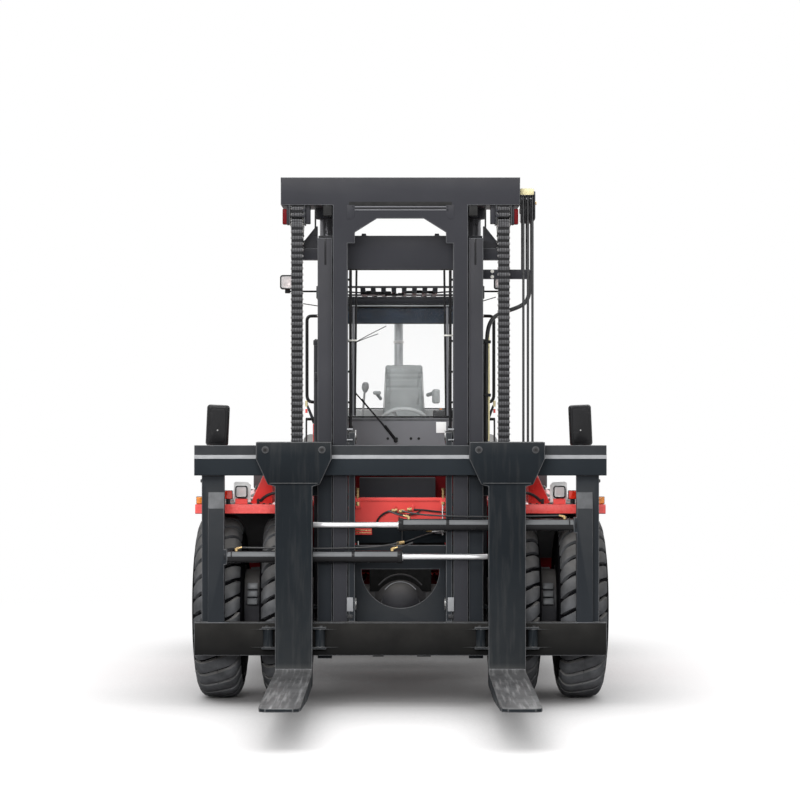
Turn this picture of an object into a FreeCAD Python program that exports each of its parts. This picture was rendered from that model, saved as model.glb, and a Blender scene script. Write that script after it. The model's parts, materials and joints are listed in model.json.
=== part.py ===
"""Diesel counterbalance forklift, heavy class, as separate bodies on real joints.

Millimetres, +Z up, the forks point along -Y.  Places below are measured from the front
axle (y = 0) and the floor (z = 0); every piece is shifted along Y on export, so that the
origin is the centre of the whole machine's base.
"""
import FreeCAD
import Part
import math
import os

# --- driving sizes -----------------------------------------------------------------
WHEELBASE = 4000.0
TYRE_R = 685.0
TYRE_W = 385.0
TYRE_BEAD_R = 305.0
TYRE_SHOULDER = ((0.0, 235.0), (8.0, 190.0), (20.0, 120.0), (44.0, 52.0), (74.0, 10.0), (92.0, 0.0))
RIM_WALL = 30.0
TWIN_GAP = 108.0
TYRE_ROOM = 85.0
REAR_WHEEL_X = 1180.0
AXLE_Z = 685.0
AXLE_TUBE_R = 160.0
AXLE_DOME_R = 250.0
SPINDLE_R = 90.0
KINGPIN_X = 930.0
KINGPIN_R = 45.0
REAR_SPINDLE_R = 55.0
PIN_FIT = 0.5
SEAT_GAP = 0.3

FRAME_X = 530.0
FRAME_T = 40.0
FRAME_BOTTOM = 480.0
FRAME_TOP = 1250.0
FRAME_STEP_Y = WHEELBASE - 1100.0
REAR_FRAME_X = 300.0
REAR_FRAME_BOTTOM = 800.0
DECK_Z = 1430.0
DECK_T = 40.0
REAR_END_Y = WHEELBASE + 1350.0

CROSS_X = 365.0
CROSS_Y0 = -190.0
CROSS_TOP = 1500.0
DRUM_X = 640.0
TRUNNION_R = 50.0
REAR_FRAME_END = WHEELBASE + 820.0
REAR_FRAME_TOP = 1380.0

MAST_PIVOT_Y = -300.0
MAST_PIVOT_Z = 560.0
MAST_PIN_R = 40.0
RAIL_BOTTOM = 350.0
RAIL_FLANGE = 30.0
RAIL_WEB = 35.0
RAIL_GAP = 7.0
INNER_GAP = 768.0
RAIL_X = 105.0
INNER_Y0 = -735.0
INNER_Y1 = -495.0
OUTER_Y0 = -700.0
OUTER_Y1 = -440.0
OUTER_TOP = 3400.0
CROSSHEAD_Z = 3637.0
MAST_TOP = 3837.0
CROSSHEAD_X = 867.0
MAST_LOWER = 60.0
ROLLER_FIT = 0.3

LIFT_CYL_ROOM = 15.0
LIFT_CYL_BACK = 10.0
LIFT_CYL_R = 100.0
LIFT_CYL_WALL = 14.0
LIFT_ROD_R = 55.0
LIFT_CYL_Z0 = 720.0
LIFT_CYL_Z1 = 2630.0

TILT_X = 702.0
TILT_BARREL_R = 55.0
TILT_ROD_R = 30.0
TILT_EYE_Y = -500.0
TILT_EYE_Z = 1600.0
TILT_BASE_Y = 200.0
TILT_BASE_Z = 1545.0
TILT_RING_HALF = 32.0
TILT_MOUTH = 440.0
TILT_PISTON = 250.0
TILT_PIN_R = 25.0
TILT_DRIFT = 6.0

CHAIN_X = 750.0
CHAIN_W = 94.0
CHAIN_T = 44.0
CHAIN_Y = -700.0
CHAIN_END_Z = 3335.0
CHAIN_LUG_Z = 1800.0
HOSE_ARM_Z = 3110.0
HOSE_ARM_TOP = 3180.0
SHEAVE_Y = -600.0
SHEAVE_Z = 3505.0
HOSE_R = 9.0
HOSE_X = (892.0, 925.0, 958.0)
HOSE_PULLEY_R = 90.0
HOSE_PULLEY_Z = 3600.0
BUNDLE_R = 24.0

BAR_Y0 = -835.0
BAR_Y1 = -745.0
BAR_HOOK_Y = -768.0
BAR_X = 1487.0
TOP_BAR_Z0 = 1680.0
TOP_BAR_Z1 = 1898.0
LOW_BAR_Z0 = 383.0
LOW_BAR_Z1 = 622.0
POST_X0 = 1270.0
POST_X1 = 1387.0
PLATE_X = 330.0
PLATE_T = 45.0
PLATE_TOP = 1990.0
CARRIAGE_ROLLER_Z = (740.0, 1960.0)

FORK_X = 765.0
FORK_W = 268.0
FORK_T = 110.0
FORK_ROOM = 5.0
BLADE_LENGTH = 2440.0
BLADE_TOP = 280.0
TIP_T = 25.0
TIP_SHARE = 0.955
HANGER_W = 541.0
HANGER_Z = 1618.0
HANGER_MID_Z = 1800.0
HANGER_TOP = 1923.0
HANGER_NECK = 372.0
HANGER_PROUD = 10.0
FORK_ROLLER_R = 35.0
FORK_ROLLER_X = 53.0

POS_BARREL_R = 43.5
POS_ROD_R = 19.5
POS_Y = -790.0
UPPER_POS_Z = 1323.0
LOWER_POS_Z = 1093.0
POS_ROD_INSIDE = 560.0
POS_MOUTH_X = 10.0
POS_WALL = 9.0
FORK_LUG_IN = 3.0
FORK_LUG_W = 42.0

CAB_X = 625.0
CAB_Y0 = 300.0
CAB_Y1 = 1900.0
CAB_FLOOR = 1475.0
CAB_WALL = 40.0
CAB_FLARE = 40.0
CAB_FLARE_TOP = 2045.0
COWL_TOP = 2090.0
REAR_SILL = 2150.0
ROOF_Z = 3000.0
ROOF_TOP = 3095.0
ROOF_STRIP = 14.0
ROOF_BARS = 8
ROOF_BAR_X = -305.0
ROOF_BAR_STEP = 79.0
ROOF_BAR_W = 36.0
ROOF_LAMP_LEFT = 735.0
ROOF_LAMP_RIGHT = 805.0
DOOR_Y0 = 485.0
DOOR_Y1 = 1795.0
DOOR_Z0 = 1525.0
DOOR_GAP = 6.0
DOOR_HINGE_OUT = 16.0
DOOR_HINGE_BACK = 5.0
DOOR_HINGE_Z = (1700.0, 2750.0)
DOOR_HINGE_R = 6.0
GLASS_T = 6.0
STEERING_HUB = 15.0
STEERING_R = 185.0
BENCH_Z = 1870.0

ENGINE_X = 270.0
ENGINE_Y0 = FRAME_STEP_Y - 450.0
ENGINE_Y1 = FRAME_STEP_Y + 650.0
ENGINE_Z0 = 840.0
ENGINE_Z1 = 1800.0
BOWL_Z = 984.0
BOWL_R = 286.0
EXHAUST_X = -14.0
EXHAUST_R = 36.0
EXHAUST_Y = 2185.0
EXHAUST_TOP = 2960.0
MUFFLER_R = 110.0
MUFFLER_Z0 = 1500.0
CLEANER_Z = 1750.0
CLEANER_R = 120.0
HOOD_X = 620.0
HOOD_Y0 = 2400.0
HOOD_Y1 = WHEELBASE + 600.0
HOOD_TOP = 2050.0
HOOD_WALL = 30.0
HOOD_HINGE_Z = 2000.0
HOOD_HINGE_BACK = 30.0
HOOD_HINGE_X = 400.0
HOOD_HINGE_R = 12.0
HOOD_SHOULDER = 90.0
HOOD_CORNER = 110.0
HOOD_GAP = 6.0

TANK_Y0 = 1045.0
TANK_Y1 = 3060.0
TANK_X = 1430.0
TANK_Z0 = 500.0
TANK_CHAMFER = 30.0
WALK_END = WHEELBASE + 300.0
STEP_INSET = 60.0
STEP_LENGTH = 500.0
STEP_DEPTH = 190.0
STEP_Z = (720.0, 1050.0)
TOW_R = 25.0
TOW_IN = 100.0
TOW_TOE_Z = 600.0
TOW_HEAD_Z = 720.0
TOW_EAR = 50.0
TOW_EAR_X = 80.0
TOW_BAY_X = 160.0
TOW_BAY_DEPTH = 220.0

CASTING_X = 1330.0
CASTING_HEAD_X = 900.0
CASTING_CORNER = 260.0
CASTING_Y0 = WHEELBASE + 840.0
CASTING_SHELF_Y0 = WHEELBASE + 310.0
CASTING_Z0 = 470.0
CASTING_ROUND = 60.0
CASTING_SHELF_Z = 1780.0
CASTING_TOP = 1915.0
GRILLE_X = 420.0
GRILLE_Z0 = 1000.0
GRILLE_Z1 = 1700.0
GRILLE_IN = 90.0
GRILLE_RIM = 40.0

FENDER_X0 = 725.0
FENDER_X1 = 1500.0
FENDER_Y0 = -560.0
FENDER_Y1 = 760.0
FENDER_TOP = 1463.0
FENDER_LIP_Z = 1393.0
MIRROR_X = 1345.0
MIRROR_SHIFT = 20.0

FORK_Y = BAR_Y0 - FORK_ROOM - FORK_T
TIP_Y = FORK_Y - BLADE_LENGTH
Y_SHIFT = -(TIP_Y + REAR_END_Y) / 2.0
TWIN_INSIDE_X = FRAME_X + FRAME_T + TYRE_ROOM
FRONT_OUTER_X = TWIN_INSIDE_X + 2.0 * TYRE_W + TWIN_GAP
OUTER_WHEEL_X = FRONT_OUTER_X - TYRE_W / 2.0
LIFT_CYL_X = TWIN_INSIDE_X - LIFT_CYL_ROOM - LIFT_CYL_R
LIFT_CYL_Y = OUTER_Y1 + LIFT_CYL_BACK + LIFT_CYL_R
INNER_WHEEL_X = OUTER_WHEEL_X - TYRE_W - TWIN_GAP
INNER_RAIL_X = INNER_GAP / 2.0
OUTER_RAIL_X = INNER_RAIL_X + RAIL_X + RAIL_GAP
OUTER_RAIL_EDGE = OUTER_RAIL_X + RAIL_X


# --- shape helpers -------------------------------------------------------------------
def vec(x, y, z):
    return FreeCAD.Vector(x, y, z)


def box(x0, x1, y0, y1, z0, z1):
    return Part.makeBox(x1 - x0, y1 - y0, z1 - z0, vec(x0, y0, z0))


def rod_x(x0, x1, y, z, r):
    return Part.makeCylinder(r, x1 - x0, vec(x0, y, z), vec(1, 0, 0))


def rod_y(y0, y1, x, z, r):
    return Part.makeCylinder(r, y1 - y0, vec(x, y0, z), vec(0, 1, 0))


def rod_z(z0, z1, x, y, r):
    return Part.makeCylinder(r, z1 - z0, vec(x, y, z0), vec(0, 0, 1))


def rod_between(start, end, r):
    line = end - start
    return Part.makeCylinder(r, line.Length, start, line)


def face_of(points):
    return Part.Face(Part.makePolygon(points + [points[0]]))


def side_prism(outline, x0, x1):
    """A side outline of (y, z) points, from x0 to x1."""
    return face_of([vec(x0, y, z) for y, z in outline]).extrude(vec(x1 - x0, 0, 0))


def front_prism(outline, y0, y1):
    """A front outline of (x, z) points, from y0 to y1."""
    return face_of([vec(x, y0, z) for x, z in outline]).extrude(vec(0, y1 - y0, 0))


def plan_prism(outline, z0, z1):
    """A plan outline of (x, y) points, from z0 to z1."""
    return face_of([vec(x, y, z0) for x, y in outline]).extrude(vec(0, 0, z1 - z0))


def turned_x(outline, y, z):
    """A ring of (x, radius) points turned about the X line through y, z."""
    face = face_of([vec(x, y, z + r) for x, r in outline])
    return face.revolve(vec(0, y, z), vec(1, 0, 0), 360)


def fuse(first, *others):
    return first.multiFuse(list(others)).removeSplitter()


def as_drawn(shape):
    return shape


def mirrored(shape):
    return shape.mirror(vec(0, 0, 0), vec(1, 0, 0))


def pair(shape):
    """The same piece on both sides, as solids that don't touch."""
    return shape.Solids + mirrored(shape).Solids


def joined_pair(shape, *middle):
    return fuse(shape, mirrored(shape), *middle)


def write(name, *shapes):
    solids = []
    for shape in shapes:
        solids += shape if isinstance(shape, list) else shape.Solids
    part = Part.makeCompound(solids)
    part.translate(vec(0, Y_SHIFT, 0))
    part.exportStep("parts/" + name + ".step")


# --- wheels ----------------------------------------------------------------------------
def tyre(x, y):
    """Tyre with rounded shoulders: each step is a place in from the side, and below the tread."""
    half = TYRE_W / 2.0
    bead = 40.0
    left = [(x - half + bead, TYRE_BEAD_R), (x - half, TYRE_BEAD_R + bead)]
    left += [(x - half + inside, TYRE_R - below) for inside, below in TYRE_SHOULDER]
    right = [(2 * x - place, radius) for place, radius in reversed(left)]
    return turned_x(left + right, y, AXLE_Z)


def rim_ring(x, y):
    half = TYRE_W / 2.0 - 10.0
    return turned_x(
        [
            (x - half, TYRE_BEAD_R - RIM_WALL),
            (x - half, TYRE_BEAD_R),
            (x + half, TYRE_BEAD_R),
            (x + half, TYRE_BEAD_R - RIM_WALL),
        ],
        y,
        AXLE_Z,
    )


def disc(x0, x1, y, outer_r, inner_r):
    return turned_x([(x0, inner_r), (x0, outer_r), (x1, outer_r), (x1, inner_r)], y, AXLE_Z)


def front_rims():
    """Two rims on one hub, with the hub reduction's cover standing in the outer dish."""
    bore = SPINDLE_R + PIN_FIT
    cover_end = FRONT_OUTER_X - 60.0
    spacer = disc(INNER_WHEEL_X + 120, OUTER_WHEEL_X - 120, 0, TYRE_BEAD_R - RIM_WALL, 230)
    web = disc(OUTER_WHEEL_X - 145, OUTER_WHEEL_X - 120, 0, TYRE_BEAD_R - RIM_WALL, bore)
    hub = disc(INNER_WHEEL_X + 60, OUTER_WHEEL_X - 120, 0, 150, bore)
    cover = disc(OUTER_WHEEL_X - 120, cover_end, 0, 175, bore)
    cap = rod_x(cover_end, cover_end + 25, 0, AXLE_Z, 120)
    return fuse(rim_ring(INNER_WHEEL_X, 0), rim_ring(OUTER_WHEEL_X, 0), spacer, web, hub, cover, cap)


def rear_rim():
    bore = REAR_SPINDLE_R + PIN_FIT
    web = disc(REAR_WHEEL_X + 50, REAR_WHEEL_X + 80, WHEELBASE, TYRE_BEAD_R - RIM_WALL, bore)
    hub = disc(REAR_WHEEL_X + 10, REAR_WHEEL_X + 150, WHEELBASE, 110, bore)
    cap = rod_x(REAR_WHEEL_X + 150, REAR_WHEEL_X + 170, WHEELBASE, AXLE_Z, 90)
    return fuse(rim_ring(REAR_WHEEL_X, WHEELBASE), web, hub, cap)


def knuckle():
    """C-shaped stub axle that clasps the beam's end on the kingpin."""
    x = KINGPIN_X
    arm = 60.0
    boss = 45.0
    gap = 6.0
    top = box(x - arm, x + 80, WHEELBASE - arm, WHEELBASE + arm, AXLE_Z + boss + gap, AXLE_Z + 105)
    bottom = box(x - arm, x + 80, WHEELBASE - arm, WHEELBASE + arm, AXLE_Z - 105, AXLE_Z - boss - gap)
    web = box(x + 62, x + 110, WHEELBASE - 80, WHEELBASE + 80, AXLE_Z - 105, AXLE_Z + 105)
    pin = rod_z(AXLE_Z - 115, AXLE_Z + 115, x, WHEELBASE, KINGPIN_R)
    spindle = rod_x(x + 110, REAR_WHEEL_X + 140, WHEELBASE, AXLE_Z, REAR_SPINDLE_R)
    collar = rod_x(x + 110, x + 150, WHEELBASE, AXLE_Z, REAR_SPINDLE_R + 35)
    steer_arm = box(x - 20, x + 60, WHEELBASE + arm, WHEELBASE + 190, AXLE_Z - 105, AXLE_Z - 75)
    return fuse(top, bottom, web, pin, spindle, collar, steer_arm)


# --- axles -----------------------------------------------------------------------------
def front_axle():
    tube = rod_x(-DRUM_X, DRUM_X, 0, AXLE_Z, AXLE_TUBE_R)
    spindle = rod_x(-OUTER_WHEEL_X - 20, OUTER_WHEEL_X + 20, 0, AXLE_Z, SPINDLE_R)
    drum = rod_x(DRUM_X, DRUM_X + 60, 0, AXLE_Z, 210)
    dome = Part.makeSphere(AXLE_DOME_R, vec(0, 0, AXLE_Z), vec(1, 0, 0))
    nose = rod_y(-AXLE_DOME_R - 45, 0, 0, AXLE_Z, 150)
    input_neck = rod_y(0, 420, 0, AXLE_Z, 110)
    return fuse(tube, spindle, drum, mirrored(drum), dome, nose, input_neck)


def rear_axle():
    """Steer beam with tapering ends and kingpin bosses, on a trunnion along the machine."""
    x = KINGPIN_X
    outline = [
        (-x, WHEELBASE - 55),
        (-x + 200, WHEELBASE - 130),
        (x - 200, WHEELBASE - 130),
        (x, WHEELBASE - 55),
        (x, WHEELBASE + 55),
        (x - 200, WHEELBASE + 130),
        (-x + 200, WHEELBASE + 130),
        (-x, WHEELBASE + 55),
    ]
    beam = plan_prism(outline, AXLE_Z - 45, AXLE_Z + 45)
    core = box(-x + 260, x - 260, WHEELBASE - 125, WHEELBASE + 125, AXLE_Z - 95, AXLE_Z + 85)
    boss = rod_z(AXLE_Z - 45, AXLE_Z + 45, x, WHEELBASE, 56)
    body = fuse(beam, core, boss, mirrored(boss))
    for side in (-1, 1):
        body = body.cut(rod_z(0, 2000, side * x, WHEELBASE, KINGPIN_R + PIN_FIT))
    trunnion = rod_y(WHEELBASE - 200, WHEELBASE + 300, 0, AXLE_Z, TRUNNION_R)
    ram = rod_x(-520, 520, WHEELBASE + 190, AXLE_Z - 40, 45)
    ram_foot = box(-200, 200, WHEELBASE + 120, WHEELBASE + 160, AXLE_Z - 90, AXLE_Z + 10)
    return fuse(body, trunnion, ram, ram_foot)


# --- chassis ---------------------------------------------------------------------------
def frame_plate():
    """Side plate with the mast's pivot nose at its front and a hole for the axle."""
    outline = [
        (MAST_PIVOT_Y, MAST_PIVOT_Z - 95),
        (-80, FRAME_BOTTOM - 60),
        (FRAME_STEP_Y, FRAME_BOTTOM),
        (FRAME_STEP_Y, FRAME_TOP),
        (80, FRAME_TOP),
        (20, 1000),
        (-170, 680),
        (MAST_PIVOT_Y, MAST_PIVOT_Z + 95),
    ]
    plate = side_prism(outline, FRAME_X, FRAME_X + FRAME_T)
    nose = rod_x(FRAME_X, FRAME_X + FRAME_T, MAST_PIVOT_Y, MAST_PIVOT_Z, 95)
    plate = fuse(plate, nose)
    bore = rod_x(0, 1000, MAST_PIVOT_Y, MAST_PIVOT_Z, MAST_PIN_R + PIN_FIT)
    axle_hole = rod_x(0, 1000, 0, AXLE_Z, AXLE_TUBE_R + PIN_FIT)
    return plate.cut(bore).cut(axle_hole)


def rear_frame_plate():
    """Side plate of the narrow rear frame, between the steered wheels."""
    outline = [
        (FRAME_STEP_Y - FRAME_T, FRAME_BOTTOM + 120),
        (FRAME_STEP_Y + 250, REAR_FRAME_BOTTOM),
        (REAR_FRAME_END + 80, REAR_FRAME_BOTTOM),
        (REAR_FRAME_END + 80, REAR_FRAME_TOP),
        (FRAME_STEP_Y - FRAME_T, FRAME_TOP + 130),
    ]
    return side_prism(outline, REAR_FRAME_X, REAR_FRAME_X + FRAME_T)


def chassis_frame():
    """Deck, walls and trays between the side plates, with the narrow rear frame."""
    inner = REAR_FRAME_X
    edge = FRAME_X + FRAME_T
    top = FRAME_TOP + DECK_T
    wall_z = FRAME_BOTTOM
    gap = 10.0
    bulkhead = box(-FRAME_X, FRAME_X, FRAME_STEP_Y - FRAME_T, FRAME_STEP_Y, wall_z, FRAME_TOP)
    engine_way = box(-ENGINE_X - gap, ENGINE_X + gap, ENGINE_Y0, ENGINE_Y1, ENGINE_Z0 - 1, FRAME_TOP + 1)
    bulkhead = bulkhead.cut(engine_way)
    front_wall = box(-FRAME_X, FRAME_X, 80, 120, 940, FRAME_TOP)
    deck = box(-edge, edge, 80, FRAME_STEP_Y, FRAME_TOP, top)
    deck = deck.cut(box(-330, 330, 2150, FRAME_STEP_Y + 1, FRAME_TOP - 1, top + 1))
    tray = box(-FRAME_X, FRAME_X, 2250, FRAME_STEP_Y - 20, 740, 780)
    rear_tray = box(-inner, inner, FRAME_STEP_Y - 20, ENGINE_Y1, REAR_FRAME_BOTTOM, REAR_FRAME_BOTTOM + 40)
    tail = box(-inner, inner, REAR_FRAME_END - 40, REAR_FRAME_END, REAR_FRAME_BOTTOM, REAR_FRAME_TOP)
    bar = box(-CROSS_X, CROSS_X, CROSS_Y0, CROSS_Y0 + 40, 1270, CROSS_TOP)
    lip = box(-CROSS_X, CROSS_X, CROSS_Y0 - 15, CROSS_Y0 + 80, CROSS_TOP - 25, CROSS_TOP)
    arm = box(CROSS_X - 35, CROSS_X, CROSS_Y0, 100, 1100, CROSS_TOP)
    arm_foot = box(CROSS_X - 35, FRAME_X, 80, 120, 1000, 1420)
    saddle = box(500, 620, CAB_Y0, 880, top, DECK_Z)
    rear_saddle = box(500, 566, 1500, CAB_Y1, top, CAB_FLOOR)
    trunnion_lugs = []
    for y in (WHEELBASE - 190, WHEELBASE + 260):
        lug = box(-inner, inner, y, y + 30, AXLE_Z - 20, REAR_FRAME_BOTTOM + 60)
        eye = rod_y(y, y + 30, 0, AXLE_Z, 110)
        trunnion_lugs += [fuse(lug, eye).cut(rod_y(y - 1, y + 31, 0, AXLE_Z, TRUNNION_R + PIN_FIT))]
    sides = fuse(rear_frame_plate(), arm, arm_foot, saddle, rear_saddle)
    frame = joined_pair(sides, bulkhead, front_wall, deck, tray, rear_tray, tail, bar, lip, *trunnion_lugs)
    return frame.cut(rod_x(-1000, 1000, 0, AXLE_Z, AXLE_TUBE_R + PIN_FIT))


def tilt_stand():
    """Lug, collar and pin on the shelf beside the cab, for the tilt cylinder's rear end."""
    x0 = FRAME_X + FRAME_T + 50
    x1 = TILT_X - TILT_RING_HALF - 10
    y = TILT_BASE_Y
    z = TILT_BASE_Z
    lug = box(x0, x1, y - 35, y + 60, FENDER_TOP - 1, z + 60)
    collar = rod_x(x1 - 1, TILT_X - TILT_RING_HALF - SEAT_GAP, y, z, 40)
    return fuse(lug, collar, rod_x(x0, TILT_X + 50, y, z, TILT_PIN_R))


def front_fender():
    """Flat wing over the twin wheels with a folded front lip and a sloping riser inside."""
    inner = FENDER_X0
    outer = FENDER_X1
    front = FENDER_Y0
    back = FENDER_Y1
    top = FENDER_TOP
    under = DECK_Z
    lip_z = FENDER_LIP_Z
    plate = box(inner, outer, front, back, under, top)
    lip = box(inner + 125, outer, front, front + 25, lip_z, under)
    skirt = box(outer - 25, outer, front, back, lip_z, under)
    flap = [(back, top), (back + 260, 1200), (back + 235, 1185), (back - 30, under)]
    tail = side_prism(flap, inner + 25, outer)
    shelf = box(FRAME_X + FRAME_T, inner, TILT_BASE_Y - 80, back, under, top)
    riser = front_prism([(940, top), (1105, top), (1010, 1670), (940, 1670)], -430, 300)
    lamp_foot = box(1120, 1210, -520, -440, top, top + 40)
    return fuse(plate, lip, skirt, tail, shelf, riser, lamp_foot, tilt_stand())


def tank():
    """Side tank with two boarding steps cut in its outer face."""
    x0 = FRAME_X + FRAME_T
    x1 = TANK_X
    step_y = TANK_Y0 + STEP_INSET
    block = box(x0, x1, TANK_Y0, TANK_Y1, TANK_Z0, DECK_Z - DECK_T)
    outer_edges = [e for e in block.Edges if e.BoundBox.XMin > x1 - 1]
    block = block.makeChamfer(TANK_CHAMFER, outer_edges)
    for z in STEP_Z:
        block = block.cut(box(x1 - STEP_DEPTH, x1 + 1, step_y, step_y + STEP_LENGTH, z, z + STEP_DEPTH))
    return block


def side_deck():
    """Walkway over the tanks and the rear wheels, beside the cab and the hood."""
    return box(FRAME_X + FRAME_T, TANK_X, TANK_Y0 - 5, WALK_END, DECK_Z - DECK_T, DECK_Z)


def casting_plan(front):
    """Plan of the cast block from front to its rounded rear."""
    side = REAR_END_Y - CASTING_CORNER
    rear = CASTING_X - CASTING_CORNER
    return [
        (-CASTING_X, front),
        (CASTING_X, front),
        (CASTING_X, side),
        (rear, REAR_END_Y),
        (-rear, REAR_END_Y),
        (-CASTING_X, side),
    ]


def casting_block():
    lower = plan_prism(casting_plan(CASTING_Y0), CASTING_Z0, DECK_Z)
    shelf = plan_prism(casting_plan(CASTING_SHELF_Y0), DECK_Z, CASTING_SHELF_Z)
    outline = [
        (REAR_END_Y, CASTING_SHELF_Z),
        (REAR_END_Y, CASTING_TOP),
        (REAR_END_Y - 350, CASTING_TOP),
        (REAR_END_Y - 700, CASTING_SHELF_Z),
    ]
    head = side_prism(outline, -CASTING_HEAD_X, CASTING_HEAD_X)
    upright = [e for e in head.Edges if e.CenterOfMass.z > CASTING_SHELF_Z + 5]
    sides = [e for e in upright if abs(abs(e.CenterOfMass.x) - CASTING_HEAD_X) < 1]
    head = head.makeFillet(CASTING_ROUND, [e for e in sides if e.CenterOfMass.y < REAR_END_Y - 1])
    return fuse(lower, shelf, head)


def hood_hinge_stand(x):
    """Pin and two ears that carry one of the hood's eyes."""
    y = HOOD_Y1 + HOOD_HINGE_BACK
    ears = []
    for ear in (x - 70, x + 46):
        ears += [box(ear, ear + 24, y - 14, y + 120, DECK_Z + 300, HOOD_HINGE_Z + 14)]
    return [rod_x(x - 70, x + 70, y, HOOD_HINGE_Z, HOOD_HINGE_R)] + ears


def counterweight():
    """Cast block behind the steered wheels, rounded in plan, with a tow recess."""
    block = casting_block()
    frame_end = REAR_FRAME_X + FRAME_T + 10
    block = block.cut(box(-frame_end, frame_end, CASTING_Y0 - 40, REAR_FRAME_END + 80, 780, DECK_Z))
    block = block.cut(box(-HOOD_X - 20, HOOD_X + 20, WALK_END, HOOD_Y1 + 90, DECK_Z - 1, CASTING_TOP + 120))
    for x in (-HOOD_HINGE_X, HOOD_HINGE_X):
        block = fuse(block, *hood_hinge_stand(x))
    rear = REAR_END_Y + 1
    block = block.cut(box(-GRILLE_X, GRILLE_X, REAR_END_Y - GRILLE_IN, rear, GRILLE_Z0, GRILLE_Z1))
    block = block.cut(box(-TOW_BAY_X, TOW_BAY_X, REAR_END_Y - TOW_BAY_DEPTH, rear, CASTING_Z0 - 1, 960))
    ear_y = REAR_END_Y - TOW_BAY_DEPTH - 1
    for z in (TOW_TOE_Z, TOW_HEAD_Z):
        block = fuse(block, box(-TOW_EAR_X, TOW_EAR_X, ear_y, REAR_END_Y - 20, z, z + TOW_EAR))
    return block.cut(rod_z(TOW_TOE_Z - 5, TOW_HEAD_Z + TOW_EAR + 5, 0, REAR_END_Y - TOW_IN, TOW_R))


def radiator_grille():
    """Louvred grille in the counterweight's rear recess."""
    y1 = REAR_END_Y - 20
    y0 = REAR_END_Y - GRILLE_IN
    bay_x = GRILLE_X - GRILLE_RIM
    bay = box(-bay_x, bay_x, y0 - 1, y1 + 1, GRILLE_Z0 + GRILLE_RIM, GRILLE_Z1 - GRILLE_RIM)
    rim = box(-GRILLE_X, GRILLE_X, y0, y1, GRILLE_Z0, GRILLE_Z1).cut(bay)
    slats = []
    for step in range(9):
        z = GRILLE_Z0 + 70 + step * 68
        outline = [(y0 + 10, z + 30), (y1 - 10, z), (y1 - 10, z + 12), (y0 + 10, z + 42)]
        slats += [side_prism(outline, -bay_x - 1, bay_x + 1)]
    return fuse(rim, *slats)


def valve_block():
    """Control valve housing under the cab's front, ahead of the cab wall."""
    return box(-310, 265, 125, CAB_Y0 - 8, FRAME_TOP + 40, 1640)


def engine_block():
    return box(-ENGINE_X, ENGINE_X, ENGINE_Y0, ENGINE_Y1, ENGINE_Z0, ENGINE_Z1)


def hood_section(inset, base):
    """Front outline of the hood with sloping shoulders, drawn in by inset."""
    half = HOOD_X - inset
    crown = HOOD_X - HOOD_CORNER
    top = HOOD_TOP - inset
    shoulder = HOOD_TOP - HOOD_SHOULDER - inset / 2
    return [(-half, base), (half, base), (half, shoulder), (crown, top), (-crown, top), (-half, shoulder)]


def hood():
    """Engine cover open below, hinged across its rear edge."""
    y1 = HOOD_Y1
    wall = HOOD_WALL
    shell = front_prism(hood_section(0, DECK_Z + HOOD_GAP), HOOD_Y0, y1)
    shell = shell.cut(front_prism(hood_section(wall, DECK_Z), HOOD_Y0 + wall, y1 - wall))
    for x in (-HOOD_HINGE_X, HOOD_HINGE_X):
        y = y1 + HOOD_HINGE_BACK
        eye = rod_x(x - 40, x + 40, y, HOOD_HINGE_Z, 26)
        strap = box(x - 40, x + 40, y1 - 1, y, HOOD_HINGE_Z - 20, HOOD_HINGE_Z + 20)
        shell = fuse(shell, eye, strap)
        shell = shell.cut(rod_x(x - 50, x + 50, y, HOOD_HINGE_Z, HOOD_HINGE_R + PIN_FIT))
    return shell


def exhaust():
    """Vertical stack with an air cleaner beside it on the deck behind the cab."""
    y = EXHAUST_Y
    z0 = MUFFLER_Z0
    deck_top = FRAME_TOP + DECK_T
    pipe = rod_z(z0, EXHAUST_TOP, EXHAUST_X, y, EXHAUST_R)
    muffler = rod_z(z0, z0 + 650, EXHAUST_X, y, MUFFLER_R)
    foot = box(-120, 120, y - MUFFLER_R, y - 80, deck_top, z0 + 20)
    shelf = box(-120, 120, y - MUFFLER_R, y, z0, z0 + 20)
    cleaner = rod_x(-480, -200, y, CLEANER_Z, CLEANER_R)
    stand = box(-460, -350, y - 70, y + 50, deck_top, CLEANER_Z - 70)
    return [fuse(pipe, muffler, foot, shelf), fuse(cleaner, stand)]


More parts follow.
